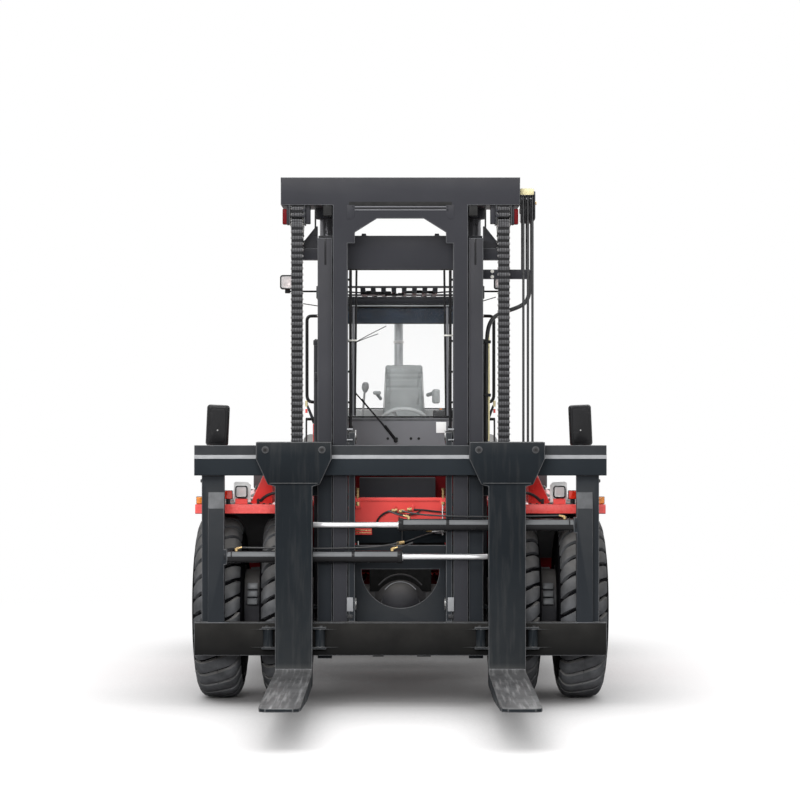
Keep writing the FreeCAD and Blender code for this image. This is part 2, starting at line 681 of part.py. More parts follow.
# --- cab -------------------------------------------------------------------------------
def cab_shell():
    """Hollow lower cab and pillars; doors, glass and roof are pieces of their own."""
    t = CAB_WALL
    z0 = CAB_FLOOR
    floor = box(-CAB_X, CAB_X, CAB_Y0, CAB_Y1, z0, z0 + t)
    front = box(-CAB_X, CAB_X, CAB_Y0, CAB_Y0 + t, z0, COWL_TOP)
    rear = box(-CAB_X, CAB_X, CAB_Y1 - t, CAB_Y1, z0, REAR_SILL)
    head_z = ROOF_Z - 40
    front_head = box(-CAB_X, CAB_X, CAB_Y0, CAB_Y0 + t, head_z, ROOF_Z)
    rear_head = box(-CAB_X, CAB_X, CAB_Y1 - t, CAB_Y1, head_z, ROOF_Z)
    kick = box(CAB_X - t, CAB_X, CAB_Y0, DOOR_Y0 - DOOR_GAP, z0, CAB_FLARE_TOP)
    brow = box(CAB_X - t, CAB_X, CAB_Y0, CAB_Y1, ROOF_Z - 20, ROOF_Z)
    a_post = box(CAB_X - 60, CAB_X, CAB_Y0, CAB_Y0 + 60, COWL_TOP, ROOF_Z)
    b_post = box(CAB_X - t, CAB_X, DOOR_Y1 + DOOR_GAP, CAB_Y1, z0, ROOF_Z)
    door_jamb = box(CAB_X - t, CAB_X, DOOR_Y0 - DOOR_GAP - 40, DOOR_Y0 - DOOR_GAP, 1990, ROOF_Z)
    flare = box(CAB_X - t, CAB_X + CAB_FLARE, CAB_Y0, DOOR_Y0 - DOOR_GAP, z0, CAB_FLARE_TOP)
    side = fuse(kick, brow, a_post, b_post, door_jamb, flare)
    hinge_x = CAB_X + DOOR_HINGE_OUT
    hinge_y = DOOR_Y1 + DOOR_HINGE_BACK
    for z in DOOR_HINGE_Z:
        pin = rod_z(z, z + 120, hinge_x, hinge_y, DOOR_HINGE_R)
        side = fuse(side, pin, box(CAB_X - 1, hinge_x + 6, hinge_y + 2, DOOR_Y1 + 60, z, z + 25))
    return joined_pair(side, floor, front, rear, front_head, rear_head)


def door():
    """Full-height door with an upper window, swinging on two pins at its rear edge."""
    t = CAB_WALL
    top = ROOF_Z - 26
    leaf = box(CAB_X - t, CAB_X, DOOR_Y0, DOOR_Y1, DOOR_Z0, top)
    leaf = leaf.cut(door_window(t + 2, 0))
    leaf = leaf.cut(door_low_window(t + 2, 0))
    hinge_x = CAB_X + DOOR_HINGE_OUT
    hinge_y = DOOR_Y1 + DOOR_HINGE_BACK
    for z in DOOR_HINGE_Z:
        eye = rod_z(z + 30, z + 110, hinge_x, hinge_y, 14)
        strap = box(CAB_X - 1, hinge_x, DOOR_Y1 - 90, hinge_y, z + 30, z + 110)
        leaf = fuse(leaf, eye, strap)
        leaf = leaf.cut(rod_z(z, z + 140, hinge_x, hinge_y, DOOR_HINGE_R + PIN_FIT))
    handle = rod_z(1980, 2060, CAB_X + 18, DOOR_Y0 + 60, 9)
    stub = box(CAB_X - 1, CAB_X + 20, DOOR_Y0 + 54, DOOR_Y0 + 66, 1990, 2005)
    return fuse(leaf, handle, stub)


def door_window(depth, shift):
    x = CAB_X - CAB_WALL / 2 + shift
    return box(x - depth / 2, x + depth / 2, DOOR_Y0 + 70, DOOR_Y1 - 70, 2090, ROOF_Z - 90)


def door_low_window(depth, shift):
    x = CAB_X - CAB_WALL / 2 + shift
    return box(x - depth / 2, x + depth / 2, DOOR_Y0 + 70, DOOR_Y0 + 560, 1640, 1950)


def cab_glass():
    """Windscreen over the cowl and the rear pane between the posts."""
    half = GLASS_T / 2
    head_z = ROOF_Z - 40
    y = CAB_Y0 + CAB_WALL / 2
    screen = box(-CAB_X + 60, CAB_X - 60, y - half, y + half, COWL_TOP, head_z)
    back_y = CAB_Y1 - CAB_WALL / 2
    rear = box(-CAB_X + CAB_WALL, CAB_X - CAB_WALL, back_y - half, back_y + half, REAR_SILL, head_z)
    side_x = CAB_X - CAB_WALL / 2
    jamb_y = DOOR_Y0 - DOOR_GAP - 40
    quarter = box(side_x - half, side_x + half, CAB_Y0 + 60, jamb_y, CAB_FLARE_TOP, ROOF_Z - 20)
    return [screen, rear] + pair(quarter)


def cab_roof():
    """Guard roof: a rim, open at its front and back, with cross bars."""
    rim = box(-CAB_X - 15, CAB_X + 15, CAB_Y0 - 10, CAB_Y1 + 40, ROOF_Z, ROOF_TOP)
    x = CAB_X - 60
    bay = box(-x, x, CAB_Y0 + 70, CAB_Y1 - 60, ROOF_Z - 1, ROOF_TOP + 1)
    slot = box(-x, x, CAB_Y0 - 11, CAB_Y1 + 41, ROOF_Z + ROOF_STRIP, ROOF_TOP - ROOF_STRIP)
    rim = rim.cut(bay).cut(slot)
    bars = []
    top = ROOF_TOP - ROOF_STRIP + 1
    for step in range(ROOF_BARS):
        bar_x = ROOF_BAR_X + step * ROOF_BAR_STEP
        bars += [box(bar_x, bar_x + ROOF_BAR_W, CAB_Y0 + 30, CAB_Y1 + 10, top - 34, top)]
    return fuse(rim, *bars)


def seat_base():
    return box(-170, 230, 1150, 1600, CAB_FLOOR + CAB_WALL, BENCH_Z)


def seat():
    """Cushion and back, each one simple closed solid."""
    top = BENCH_Z + 140
    cushion = box(-200, 260, 1090, 1600, BENCH_Z, top)
    cushion = cushion.makeFillet(40, [e for e in cushion.Edges if e.BoundBox.ZMin > top - 10])
    low = BENCH_Z + 80
    back = side_prism([(1600 + SEAT_GAP, low), (1735, low), (1810, 2547), (1715, 2547)], -190, 250)
    back = back.common(front_prism([(-182, low), (240, low), (205, 2547), (-148, 2547)], 1500, 1900))
    return [cushion, back]


def armrest_console():
    return box(300, 420, 1000, 1600, CAB_FLOOR + CAB_WALL, 2140)


def steering_axis():
    """Centre of the steering wheel and the unit direction of its column."""
    lean = vec(0, 210, 270)
    lean.normalize()
    return vec(30, 810, 2045), lean


def dashboard():
    y0 = CAB_Y0 + CAB_WALL
    top = side_prism([(y0, 1700), (y0, 2040), (560, 1990), (620, 1700)], -580, 580)
    centre, lean = steering_axis()
    column = rod_between(centre - lean * 340, centre - lean * STEERING_HUB, 35)
    return fuse(top, column)


def steering_wheel():
    """Rim, hub and three spokes, leaning on the column."""
    centre, lean = steering_axis()
    rim = Part.makeTorus(STEERING_R, 15, centre, lean)
    hub = Part.makeCylinder(45, 2 * STEERING_HUB, centre - lean * STEERING_HUB, lean)
    spokes = []
    across = vec(1, 0, 0)
    up = lean.cross(across)
    up.normalize()
    for angle in (0, 120, 240):
        turn = math.radians(angle)
        way = across * math.cos(turn) + up * math.sin(turn)
        spokes += [rod_between(centre, centre + way * STEERING_R, 9)]
    return fuse(rim, hub, *spokes)


def grab_rail():
    """Bent handle beside the cab's front post."""
    x = CAB_X + 75.0
    y = CAB_Y0 + 20.0
    upright = rod_z(2240, 2880, x, y, 13)
    top = rod_x(CAB_X, x, y, 2867, 13)
    foot = rod_x(CAB_X, x, y, 2253, 13)
    return fuse(upright, top, foot)


def mirror_head(shift):
    """Mirror on its stalk at the machine's left, moved in by shift."""
    stalk = rod_z(FENDER_TOP, 1900, MIRROR_X, -380, 14)
    head = front_prism([(1262, 1895), (1425, 1887), (1431, 2180), (1268, 2190)], -425, -350)
    mirror = fuse(stalk, head)
    mirror.translate(vec(-shift, 0, 0))
    return mirror


def head_lamp():
    body = box(1118, 1212, -545, -460, 1503, 1592)
    red = box(1228, 1292, -545, -505, 1500, 1565)
    red_foot = box(1240, 1280, -535, -510, FENDER_TOP, 1500)
    side = box(1440, 1495, -545, -500, FENDER_TOP, 1520)
    return [body, fuse(red, red_foot), side]


def roof_lamp(x):
    arm = box(CAB_X + 15, x + 95, 330, 350, 3040, 3060)
    body = box(x, x + 110, 262, 330, 3030, 3140)
    return fuse(arm, body)


# --- mast ------------------------------------------------------------------------------
def channel(x0, x1, y0, y1, z0, z1, web):
    """A C rail that opens towards the machine's centre line, on the +X side."""
    solid = box(x0, x1, y0, y1, z0, z1)
    return solid.cut(box(x0 - 1, x1 - web, y0 + RAIL_FLANGE, y1 - RAIL_FLANGE, z0 - 1, z1 + 1))


def mast_ear(x0, x1):
    outline = [
        (OUTER_Y1 - 5, 400),
        (MAST_PIVOT_Y, MAST_PIVOT_Z - 95),
        (MAST_PIVOT_Y, MAST_PIVOT_Z + 95),
        (OUTER_Y1 - 5, 700),
    ]
    ear = side_prism(outline, x0, x1)
    return fuse(ear, rod_x(x0, x1, MAST_PIVOT_Y, MAST_PIVOT_Z, 95))


def chain_anchor():
    """Gusset and ledge outside the rail's top, where the chains and hoses end."""
    inside = OUTER_RAIL_EDGE - 1
    foot = 3250.0
    outer = 800.0
    outline = [
        (inside, foot),
        (outer, foot),
        (outer, foot + 90),
        (outer - 100, OUTER_TOP),
        (OUTER_RAIL_EDGE + 19, OUTER_TOP + 100),
        (inside, OUTER_TOP + 100),
    ]
    gusset = front_prism(outline, -470, OUTER_Y1)
    gusset = gusset.cut(box(0, OUTER_RAIL_EDGE + 5, -800, 0, OUTER_TOP, OUTER_TOP + 200))
    return gusset, box(inside, outer, -525, -469, foot, CHAIN_END_Z)


def outer_mast():
    edge = OUTER_RAIL_EDGE
    rail = channel(OUTER_RAIL_X, edge, OUTER_Y0, OUTER_Y1, RAIL_BOTTOM, OUTER_TOP, RAIL_WEB)
    gap = 6.0
    inner_ear = mast_ear(OUTER_RAIL_X, FRAME_X - gap)
    outer_ear = mast_ear(FRAME_X + FRAME_T + gap, edge + 12)
    pin = rod_x(OUTER_RAIL_X - 15, edge + 30, MAST_PIVOT_Y, MAST_PIVOT_Z, MAST_PIN_R)
    foot = box(LIFT_CYL_X - 100, LIFT_CYL_X + 100, OUTER_Y1 - 5, LIFT_CYL_Y + LIFT_CYL_R, 690, LIFT_CYL_Z0)
    strap_z = LIFT_CYL_Z1 - 260
    strap = box(450, 630, OUTER_Y1 - 1, LIFT_CYL_Y + 60, strap_z, strap_z + 60)
    strap = strap.cut(rod_z(0, 5000, LIFT_CYL_X, LIFT_CYL_Y, LIFT_CYL_R + SEAT_GAP))
    eye_y = TILT_EYE_Y
    eye_z = TILT_EYE_Z
    tilt_block = box(edge - 1, TILT_X - 25, eye_y - 60, eye_y + 30, eye_z - 75, eye_z + 75)
    tilt_pin = rod_x(edge, TILT_X + 42, eye_y, eye_z, TILT_PIN_R)
    gusset, ledge = chain_anchor()
    side = fuse(rail, inner_ear, outer_ear, pin, foot, strap, tilt_block, tilt_pin, gusset, ledge)
    hose_arm = box(edge - 1, 975, -530, -490, HOSE_ARM_Z, HOSE_ARM_TOP)
    beam = box(-edge, edge, -488, -428, 3180, OUTER_TOP + 30)
    plate = box(-edge, edge, -470, -430, 400, 1160)
    bowl = rod_y(-600, -300, 0, BOWL_Z, BOWL_R).common(box(-BOWL_R, BOWL_R, -600, -300, 0, BOWL_Z))
    plate = plate.cut(bowl)
    return joined_pair(side, beam, plate, hose_arm)


def lift_barrel():
    wall = LIFT_CYL_WALL
    tube = rod_z(LIFT_CYL_Z0, LIFT_CYL_Z1, LIFT_CYL_X, LIFT_CYL_Y, LIFT_CYL_R)
    hollow = rod_z(LIFT_CYL_Z0 + 40, LIFT_CYL_Z1 - 50, LIFT_CYL_X, LIFT_CYL_Y, LIFT_CYL_R - wall)
    mouth = rod_z(LIFT_CYL_Z1 - 60, LIFT_CYL_Z1 + 1, LIFT_CYL_X, LIFT_CYL_Y, LIFT_ROD_R + PIN_FIT)
    return tube.cut(hollow).cut(mouth)


def lift_rod():
    foot = LIFT_CYL_Z0 + 120
    shaft = rod_z(foot, CROSSHEAD_Z, LIFT_CYL_X, LIFT_CYL_Y, LIFT_ROD_R)
    piston = rod_z(foot, foot + 80, LIFT_CYL_X, LIFT_CYL_Y, LIFT_CYL_R - LIFT_CYL_WALL - 1)
    return fuse(shaft, piston)


def tilt_line():
    base = vec(TILT_X, TILT_BASE_Y, TILT_BASE_Z)
    eye = vec(TILT_X, TILT_EYE_Y, TILT_EYE_Z)
    way = eye - base
    way.normalize()
    return base, eye, way


def tilt_barrel():
    base, eye, way = tilt_line()
    mouth = TILT_MOUTH
    body = rod_between(base + way * 50, base + way * mouth, TILT_BARREL_R)
    ring = rod_x(TILT_X - TILT_RING_HALF, TILT_X + TILT_RING_HALF, TILT_BASE_Y, TILT_BASE_Z, 62)
    body = fuse(body, ring)
    body = body.cut(rod_between(base + way * 66, base + way * (mouth - 40), TILT_BARREL_R - 12))
    body = body.cut(rod_between(base + way * 70, base + way * (mouth + 5), TILT_ROD_R + PIN_FIT))
    return body.cut(rod_x(0, 2000, TILT_BASE_Y, TILT_BASE_Z, TILT_PIN_R + PIN_FIT))


def tilt_rod():
    base, eye, way = tilt_line()
    inner_end = base + way * TILT_PISTON
    shaft = rod_between(inner_end, eye - way * 45, TILT_ROD_R)
    piston = rod_between(inner_end, inner_end + way * 50, TILT_BARREL_R - 13)
    ring = rod_x(TILT_X - 22, TILT_X + 30, TILT_EYE_Y, TILT_EYE_Z, 58)
    rod = fuse(shaft, piston, ring)
    return rod.cut(rod_x(0, 2000, TILT_EYE_Y, TILT_EYE_Z, TILT_PIN_R + TILT_DRIFT))


def inner_mast():
    x0 = INNER_RAIL_X
    x1 = INNER_RAIL_X + RAIL_X
    rail = channel(x0, x1, INNER_Y0, INNER_Y1, RAIL_BOTTOM + MAST_LOWER, CROSSHEAD_Z, RAIL_WEB)
    channel_y = (OUTER_Y0 + OUTER_Y1) / 2
    roller_r = (OUTER_Y1 - OUTER_Y0) / 2 - RAIL_FLANGE - ROLLER_FIT
    roller = rod_x(OUTER_RAIL_X + 3, OUTER_RAIL_EDGE - RAIL_WEB - 3, channel_y, 600, roller_r)
    stub = rod_x(x1 - 1, OUTER_RAIL_X + 10, channel_y, 600, 45)
    housings = []
    for x in (690.0, CHAIN_X + CHAIN_W / 2 + 3):
        housings += [box(x, x + 10, -720, -480, 3500, CROSSHEAD_Z)]
    side = fuse(rail, roller, stub, *housings)
    crosshead = box(-CROSSHEAD_X, CROSSHEAD_X, INNER_Y0, OUTER_Y1 + 200, CROSSHEAD_Z, MAST_TOP)
    arch = box(-x0, x0, INNER_Y0, INNER_Y0 + 35, 3360, CROSSHEAD_Z)
    opening = [(-330, 3300), (330, 3300), (330, 3440), (170, 3540), (-170, 3540), (-330, 3440)]
    arch = arch.cut(front_prism(opening, -800, -600))
    pulley_arm = box(CROSSHEAD_X - 1, 980, -640, -560, 3700, 3740)
    pulley_cheek = box(970, 980, -690, -510, 3540, 3740)
    return joined_pair(side, crosshead, arch, pulley_arm, pulley_cheek)


def chain_sheave():
    half = CHAIN_W / 2 - 1
    radius = SHEAVE_Y - CHAIN_Y - CHAIN_T / 2 - SEAT_GAP
    wheel = rod_x(CHAIN_X - half, CHAIN_X + half, SHEAVE_Y, SHEAVE_Z, radius)
    pin = rod_x(700, CHAIN_X + CHAIN_W / 2 + 3, SHEAVE_Y, SHEAVE_Z, 30)
    return fuse(wheel, pin)


def hose_pulley():
    wheel = rod_x(876, 968, SHEAVE_Y, HOSE_PULLEY_Z, HOSE_PULLEY_R)
    pin = rod_x(CROSSHEAD_X, 970, SHEAVE_Y, HOSE_PULLEY_Z, 20)
    return fuse(wheel, pin)


def chain_run(y, z0):
    """One straight run of chain, from z0 up to the sheave's centre."""
    half = CHAIN_W / 2
    return box(CHAIN_X - half, CHAIN_X + half, y - CHAIN_T / 2, y + CHAIN_T / 2, z0, SHEAVE_Z)


def front_chain():
    return chain_run(CHAIN_Y, CHAIN_LUG_Z)


def rear_chain():
    return chain_run(SHEAVE_Y + (SHEAVE_Y - CHAIN_Y), CHAIN_END_Z)


def front_hoses():
    y = SHEAVE_Y - HOSE_PULLEY_R - HOSE_R
    return [rod_z(CHAIN_LUG_Z, HOSE_PULLEY_Z, x, y, HOSE_R) for x in HOSE_X]


def rear_hoses():
    y = SHEAVE_Y + HOSE_PULLEY_R + HOSE_R
    return [rod_z(HOSE_ARM_TOP, HOSE_PULLEY_Z, x, y, HOSE_R) for x in HOSE_X]


def swept_tube(points, radius, bend):
    """A round tube along straight runs joined by tangent arcs of one bend radius."""
    edges = []
    last = points[0]
    for before, corner, after in zip(points, points[1:], points[2:]):
        into = (corner - before)
        out = (after - corner)
        into.normalize()
        out.normalize()
        turn = into.getAngle(out)
        reach = bend * math.tan(turn / 2)
        start = corner - into * reach
        end = corner + out * reach
        middle_way = out - into
        middle_way.normalize()
        middle = corner + middle_way * (bend / math.cos(turn / 2) - bend)
        edges += [Part.LineSegment(last, start).toShape(), Part.Arc(start, middle, end).toShape()]
        last = end
    edges += [Part.LineSegment(last, points[-1]).toShape()]
    path = Part.Wire(edges)
    first = points[1] - points[0]
    ring = Part.Wire([Part.makeCircle(radius, points[0], first)])
    return path.makePipeShell([ring], True, False)


def hose_bundle():
    """Hoses from the mast's arm, curving in to run down the rail's outer face."""
    y = -510.0
    run_x = OUTER_RAIL_EDGE + BUNDLE_R + 2
    points = [vec(945, y, HOSE_ARM_Z), vec(945, y, 2900), vec(run_x, y, 2800), vec(run_x, y, 1720)]
    return swept_tube(points, BUNDLE_R, 90.0)


# --- fork carriage ----------------------------------------------------------------------
def carriage_top_bar():
    """Bar across the carriage, with a step at its rear top edge for the forks' hooks."""
    front = BAR_Y0 + 12
    hook_z = 1840.0
    outline = [
        (front, TOP_BAR_Z1),
        (front, 1827),
        (BAR_Y0, 1800),
        (BAR_Y0, TOP_BAR_Z0),
        (BAR_Y1, TOP_BAR_Z0),
        (BAR_Y1, hook_z),
        (BAR_HOOK_Y, hook_z),
        (BAR_HOOK_Y, TOP_BAR_Z1),
    ]
    return side_prism(outline, -BAR_X, BAR_X)


def carriage_post():
    """Upright near the bars' end, with a plate outside it."""
    neck_y = BAR_Y0 + 45
    foot = LOW_BAR_Z1 - 22
    top = TOP_BAR_Z0 + 20
    outline = [(BAR_Y0, foot), (BAR_Y0, 1440), (neck_y, 1560), (neck_y, top), (BAR_Y1, top), (BAR_Y1, foot)]
    post = side_prism(outline, POST_X0, POST_X1)
    return fuse(post, box(POST_X1 - 1, POST_X1 + 48, neck_y, BAR_Y1, foot, top))


def carriage_plate():
    """Plate that runs up inside the inner rail and carries the rollers."""
    front = INNER_Y0 + 1
    outline = [
        (BAR_Y1 - 1, 440),
        (BAR_Y1 - 1, 1839),
        (front, 1845),
        (front, PLATE_TOP),
        (-560, PLATE_TOP),
        (-530, 1900),
        (-530, 640),
        (-600, 440),
    ]
    return side_prism(outline, PLATE_X, PLATE_X + PLATE_T)


def carriage_rollers():
    y = (INNER_Y0 + INNER_Y1) / 2
    radius = (INNER_Y1 - INNER_Y0) / 2 - RAIL_FLANGE - ROLLER_FIT
    rollers = []
    for z in CARRIAGE_ROLLER_Z:
        rollers += [rod_x(INNER_RAIL_X + 4, INNER_RAIL_X + RAIL_X - RAIL_WEB - 3, y, z, radius)]
        rollers += [rod_x(PLATE_X, INNER_RAIL_X + 5, y, z, 40)]
    return rollers


def fork_carriage():
    low_bar = box(-BAR_X, BAR_X, BAR_Y0, BAR_Y1, LOW_BAR_Z0, LOW_BAR_Z1)
    lug_y = BAR_Y1 - 1
    chain_lug = box(CHAIN_X - 50, CHAIN_X + 50, lug_y, CHAIN_Y + 30, CHAIN_LUG_Z - 100, CHAIN_LUG_Z)
    side = fuse(carriage_post(), carriage_plate(), chain_lug, *carriage_rollers())
    hose_lug = box(HOSE_X[0] - 25, HOSE_X[2] + 25, lug_y, CHAIN_Y + 25, CHAIN_LUG_Z - 60, CHAIN_LUG_Z)
    anchors = []
    for x, z in ((POST_X0 - 20, UPPER_POS_Z), (-POST_X0 - 1, LOWER_POS_Z)):
        anchors += [box(x, x + 21, POS_Y - 45, POS_Y + 45, z - 55, z + 55)]
    return joined_pair(side, carriage_top_bar(), low_bar, hose_lug, *anchors)


def positioner_cylinder(outer_end, mouth, z):
    """A barrel from its anchor at outer_end to its mouth, lying behind the forks."""
    lo = min(outer_end, mouth)
    hi = max(outer_end, mouth)
    side = 1 if outer_end > mouth else -1
    tube = rod_x(lo, hi, POS_Y, z, POS_BARREL_R)
    hollow_lo = mouth + 60 if side > 0 else outer_end + 40
    hollow_hi = outer_end - 40 if side > 0 else mouth - 60
    tube = tube.cut(rod_x(hollow_lo, hollow_hi, POS_Y, z, POS_BARREL_R - POS_WALL))
    bore_lo = mouth - 1 if side > 0 else mouth - 70
    return tube.cut(rod_x(bore_lo, bore_lo + 71, POS_Y, z, POS_ROD_R + PIN_FIT))


def positioner_cylinders():
    end = POST_X0 - 20
    upper = positioner_cylinder(end, -POS_MOUTH_X, UPPER_POS_Z)
    return [upper, positioner_cylinder(-end, POS_MOUTH_X, LOWER_POS_Z)]


def positioner_rod(side, z):
    """Rod from the fork's lug to its piston, for the fork on that side of the machine."""
    lug = side * (FORK_X - FORK_W / 2 + FORK_LUG_IN)
    mouth = side * POS_MOUTH_X
    tip = mouth - side * POS_ROD_INSIDE
    rod = rod_x(min(lug, tip), max(lug, tip), POS_Y, z, POS_ROD_R)
    ends = sorted([tip, tip + side * 40])
    piston = rod_x(ends[0], ends[1], POS_Y, z, POS_BARREL_R - POS_WALL - 1)
    return fuse(rod, piston)


def fork_outline():
    """Side outline of the shank and the tapering blade."""
    heel = BLADE_TOP - FORK_T
    back = FORK_Y + FORK_T
    proud_y = FORK_Y - HANGER_PROUD
    return [
        (TIP_Y, BLADE_TOP - TIP_T),
        (TIP_Y, BLADE_TOP),
        (FORK_Y - 60, BLADE_TOP),
        (FORK_Y - 15, BLADE_TOP + 15),
        (FORK_Y, BLADE_TOP + 60),
        (FORK_Y, HANGER_Z + 4),
        (proud_y, HANGER_Z + 16),
        (proud_y, HANGER_TOP),
        (back, HANGER_TOP),
        (back, heel + 70),
        (back - 20, heel + 20),
        (back - 70, heel),
        (FORK_Y - 1100, heel + 12),
    ]


def fork_front():
    """Front outline: a plain shank that widens into the hanger plate."""
    half = HANGER_W / 2
    shank = FORK_W / 2
    neck = HANGER_NECK / 2
    foot = BLADE_TOP - FORK_T - 1
    right = [
        (shank, foot),
        (shank, HANGER_Z - 14),
        (neck, HANGER_Z),
        (half, HANGER_MID_Z),
        (half, HANGER_TOP + 1),
    ]
    return right + [(-x, z) for x, z in reversed(right)]


def fork_plan():
    """Plan outline, drawn in a little towards the tip."""
    half = HANGER_W / 2 + 1
    tip = FORK_W / 2 * TIP_SHARE
    right = [(tip - 40, TIP_Y), (tip, TIP_Y + 40), (half, TIP_Y + 1900), (half, FORK_Y + FORK_T + 1)]
    return right + [(-x, y) for x, y in reversed(right)]


def fork_rollers():
    """A guide roller between two tabs on each side of the shank, before the low bar."""
    y = BAR_Y0 - FORK_ROLLER_R - SEAT_GAP
    z = 433.0
    parts = []
    for way in (-1, 1):
        edge = way * FORK_W / 2
        far = edge + way * 98
        for tab in (z, z + 145):
            parts += [box(min(edge - way, far), max(edge - way, far), y - 35, BAR_Y0 - 4, tab, tab + 16)]
        parts += [rod_z(z + 7, z + 157, edge + way * FORK_ROLLER_X, y, FORK_ROLLER_R)]
    return parts


def fork(side, lug_z):
    """Hook-on fork: blade, shank, hanger plate and its rollers, at one side."""
    half = HANGER_W / 2
    back = FORK_Y + FORK_T
    body = side_prism(fork_outline(), -half, half)
    body = body.common(front_prism(fork_front(), TIP_Y - 10, back + 10))
    body = body.common(plan_prism(fork_plan(), 0, 3000))
    lip_y = BAR_HOOK_Y + 26
    hook = box(-half, half, back - 1, lip_y, TOP_BAR_Z1 + SEAT_GAP, HANGER_TOP)
    hook_lip = box(-half, half, BAR_HOOK_Y + 5, lip_y, 1855, TOP_BAR_Z1 + 1)
    lug_edge = FORK_W / 2 - FORK_LUG_IN
    lug_x = sorted([-side * lug_edge, -side * (lug_edge - FORK_LUG_W)])
    lug = box(lug_x[0], lug_x[1], back - 1, POS_Y + 32, lug_z - 32, lug_z + 32)
    body = fuse(body, hook, hook_lip, lug, *fork_rollers())
    body.translate(vec(side * FORK_X, 0, 0))
    return body


def write_body():
    write("frame_rails", pair(frame_plate()))
    write("chassis_frame", chassis_frame())
    write("front_axle", front_axle())
    write("fenders", pair(front_fender()), pair(side_deck()))
    write("side_tanks", pair(tank()))
    write("counterweight", counterweight())
    write("radiator_grille", radiator_grille())
    write("engine_block", engine_block())
    write("valve_block", valve_block())
    write("engine_hood", hood())
    write("exhaust_stack", exhaust())
    write("cab_shell", cab_shell())
    write("cab_roof", cab_roof())
    write("cab_glass", cab_glass())
    write("door_left", door())
    write("door_right", mirrored(door()))
    glass = [door_window(GLASS_T, 0), door_low_window(GLASS_T, 0)]
    write("door_glass_left", glass)
    write("door_glass_right", [mirrored(pane) for pane in glass])
    write("seat_base", seat_base(), armrest_console())
    write("seat", seat())
    write("dashboard", dashboard())
    write("steering_wheel", steering_wheel())
    write("grab_rails", pair(grab_rail()))


def write_fittings():
    write("mirrors", [mirror_head(MIRROR_SHIFT), mirrored(mirror_head(0))])
    roof_lamps = [roof_lamp(ROOF_LAMP_LEFT), mirrored(roof_lamp(ROOF_LAMP_RIGHT))]
    write("lamps", *[pair(lamp) for lamp in head_lamp()], roof_lamps)


def write_wheels():
    write("rear_axle", rear_axle())
    tyres = [tyre(INNER_WHEEL_X, 0), tyre(OUTER_WHEEL_X, 0)]
    for name, flip in (("left", as_drawn), ("right", mirrored)):
        write("front_tyres_" + name, [flip(t) for t in tyres])
        write("front_rims_" + name, flip(front_rims()))
        write("rear_tyre_" + name, flip(tyre(REAR_WHEEL_X, WHEELBASE)))
        write("rear_rim_" + name, flip(rear_rim()))
        write("knuckle_" + name, flip(knuckle()))


def write_mast():
    write("outer_mast", outer_mast())
    write("lift_cylinders", pair(lift_barrel()))
    write("tilt_cylinders", pair(tilt_barrel()))
    write("tilt_rods", pair(tilt_rod()))
    write("inner_mast", inner_mast())
    write("lift_rods", pair(lift_rod()))
    write("chain_sheaves", pair(chain_sheave()), hose_pulley())
    write("lift_chains", pair(front_chain()), front_hoses())
    write("chain_tails", pair(rear_chain()), rear_hoses())
    write("hose_bundle", hose_bundle())
    write("fork_carriage", fork_carriage())
    write("positioner_cylinders", positioner_cylinders())
    write("positioner_rod_left", positioner_rod(1, LOWER_POS_Z))
    write("positioner_rod_right", positioner_rod(-1, UPPER_POS_Z))
    write("fork_left", fork(1, LOWER_POS_Z))
    write("fork_right", fork(-1, UPPER_POS_Z))


def main():
    os.makedirs("parts", exist_ok=True)
    write_body()
    write_fittings()
    write_wheels()
    write_mast()


if __name__ == "__main__":
    main()
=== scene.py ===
"""Looks for a heavy diesel forklift: its paint, rubber, glass, chains, hoses, lamps and seat.

Laid out as an add-on and run as a script. Small places are given in millimetres from the
front axle and the floor, as on the drawing, and at() turns them into the frame's metres:
X across the machine, the forks towards -Y, Z up from the floor.
"""

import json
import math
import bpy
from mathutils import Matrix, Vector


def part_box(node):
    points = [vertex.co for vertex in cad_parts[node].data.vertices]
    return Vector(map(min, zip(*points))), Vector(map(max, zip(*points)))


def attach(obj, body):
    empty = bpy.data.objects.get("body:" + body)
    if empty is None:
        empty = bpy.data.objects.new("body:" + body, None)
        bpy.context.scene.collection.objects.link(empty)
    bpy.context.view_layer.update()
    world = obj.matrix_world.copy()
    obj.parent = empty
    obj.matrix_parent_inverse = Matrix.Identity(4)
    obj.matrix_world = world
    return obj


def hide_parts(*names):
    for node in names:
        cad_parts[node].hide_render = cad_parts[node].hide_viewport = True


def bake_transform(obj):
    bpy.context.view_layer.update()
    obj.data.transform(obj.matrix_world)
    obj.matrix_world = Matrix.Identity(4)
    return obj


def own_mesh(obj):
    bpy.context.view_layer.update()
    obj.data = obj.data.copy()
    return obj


bl_info = {
    "name": "Diesel forklift looks",
    "version": (1, 0, 0),
    "blender": (4, 5, 0),
    "location": "3D View > Sidebar > Forklift",
    "description": "Finishes and fine parts for a heavy forklift on its construction frame",
    "category": "Object",
}

import bmesh
import bpy
from bpy.props import FloatProperty, FloatVectorProperty, IntProperty, PointerProperty
from mathutils import Matrix, Vector
from mathutils.bvhtree import BVHTree

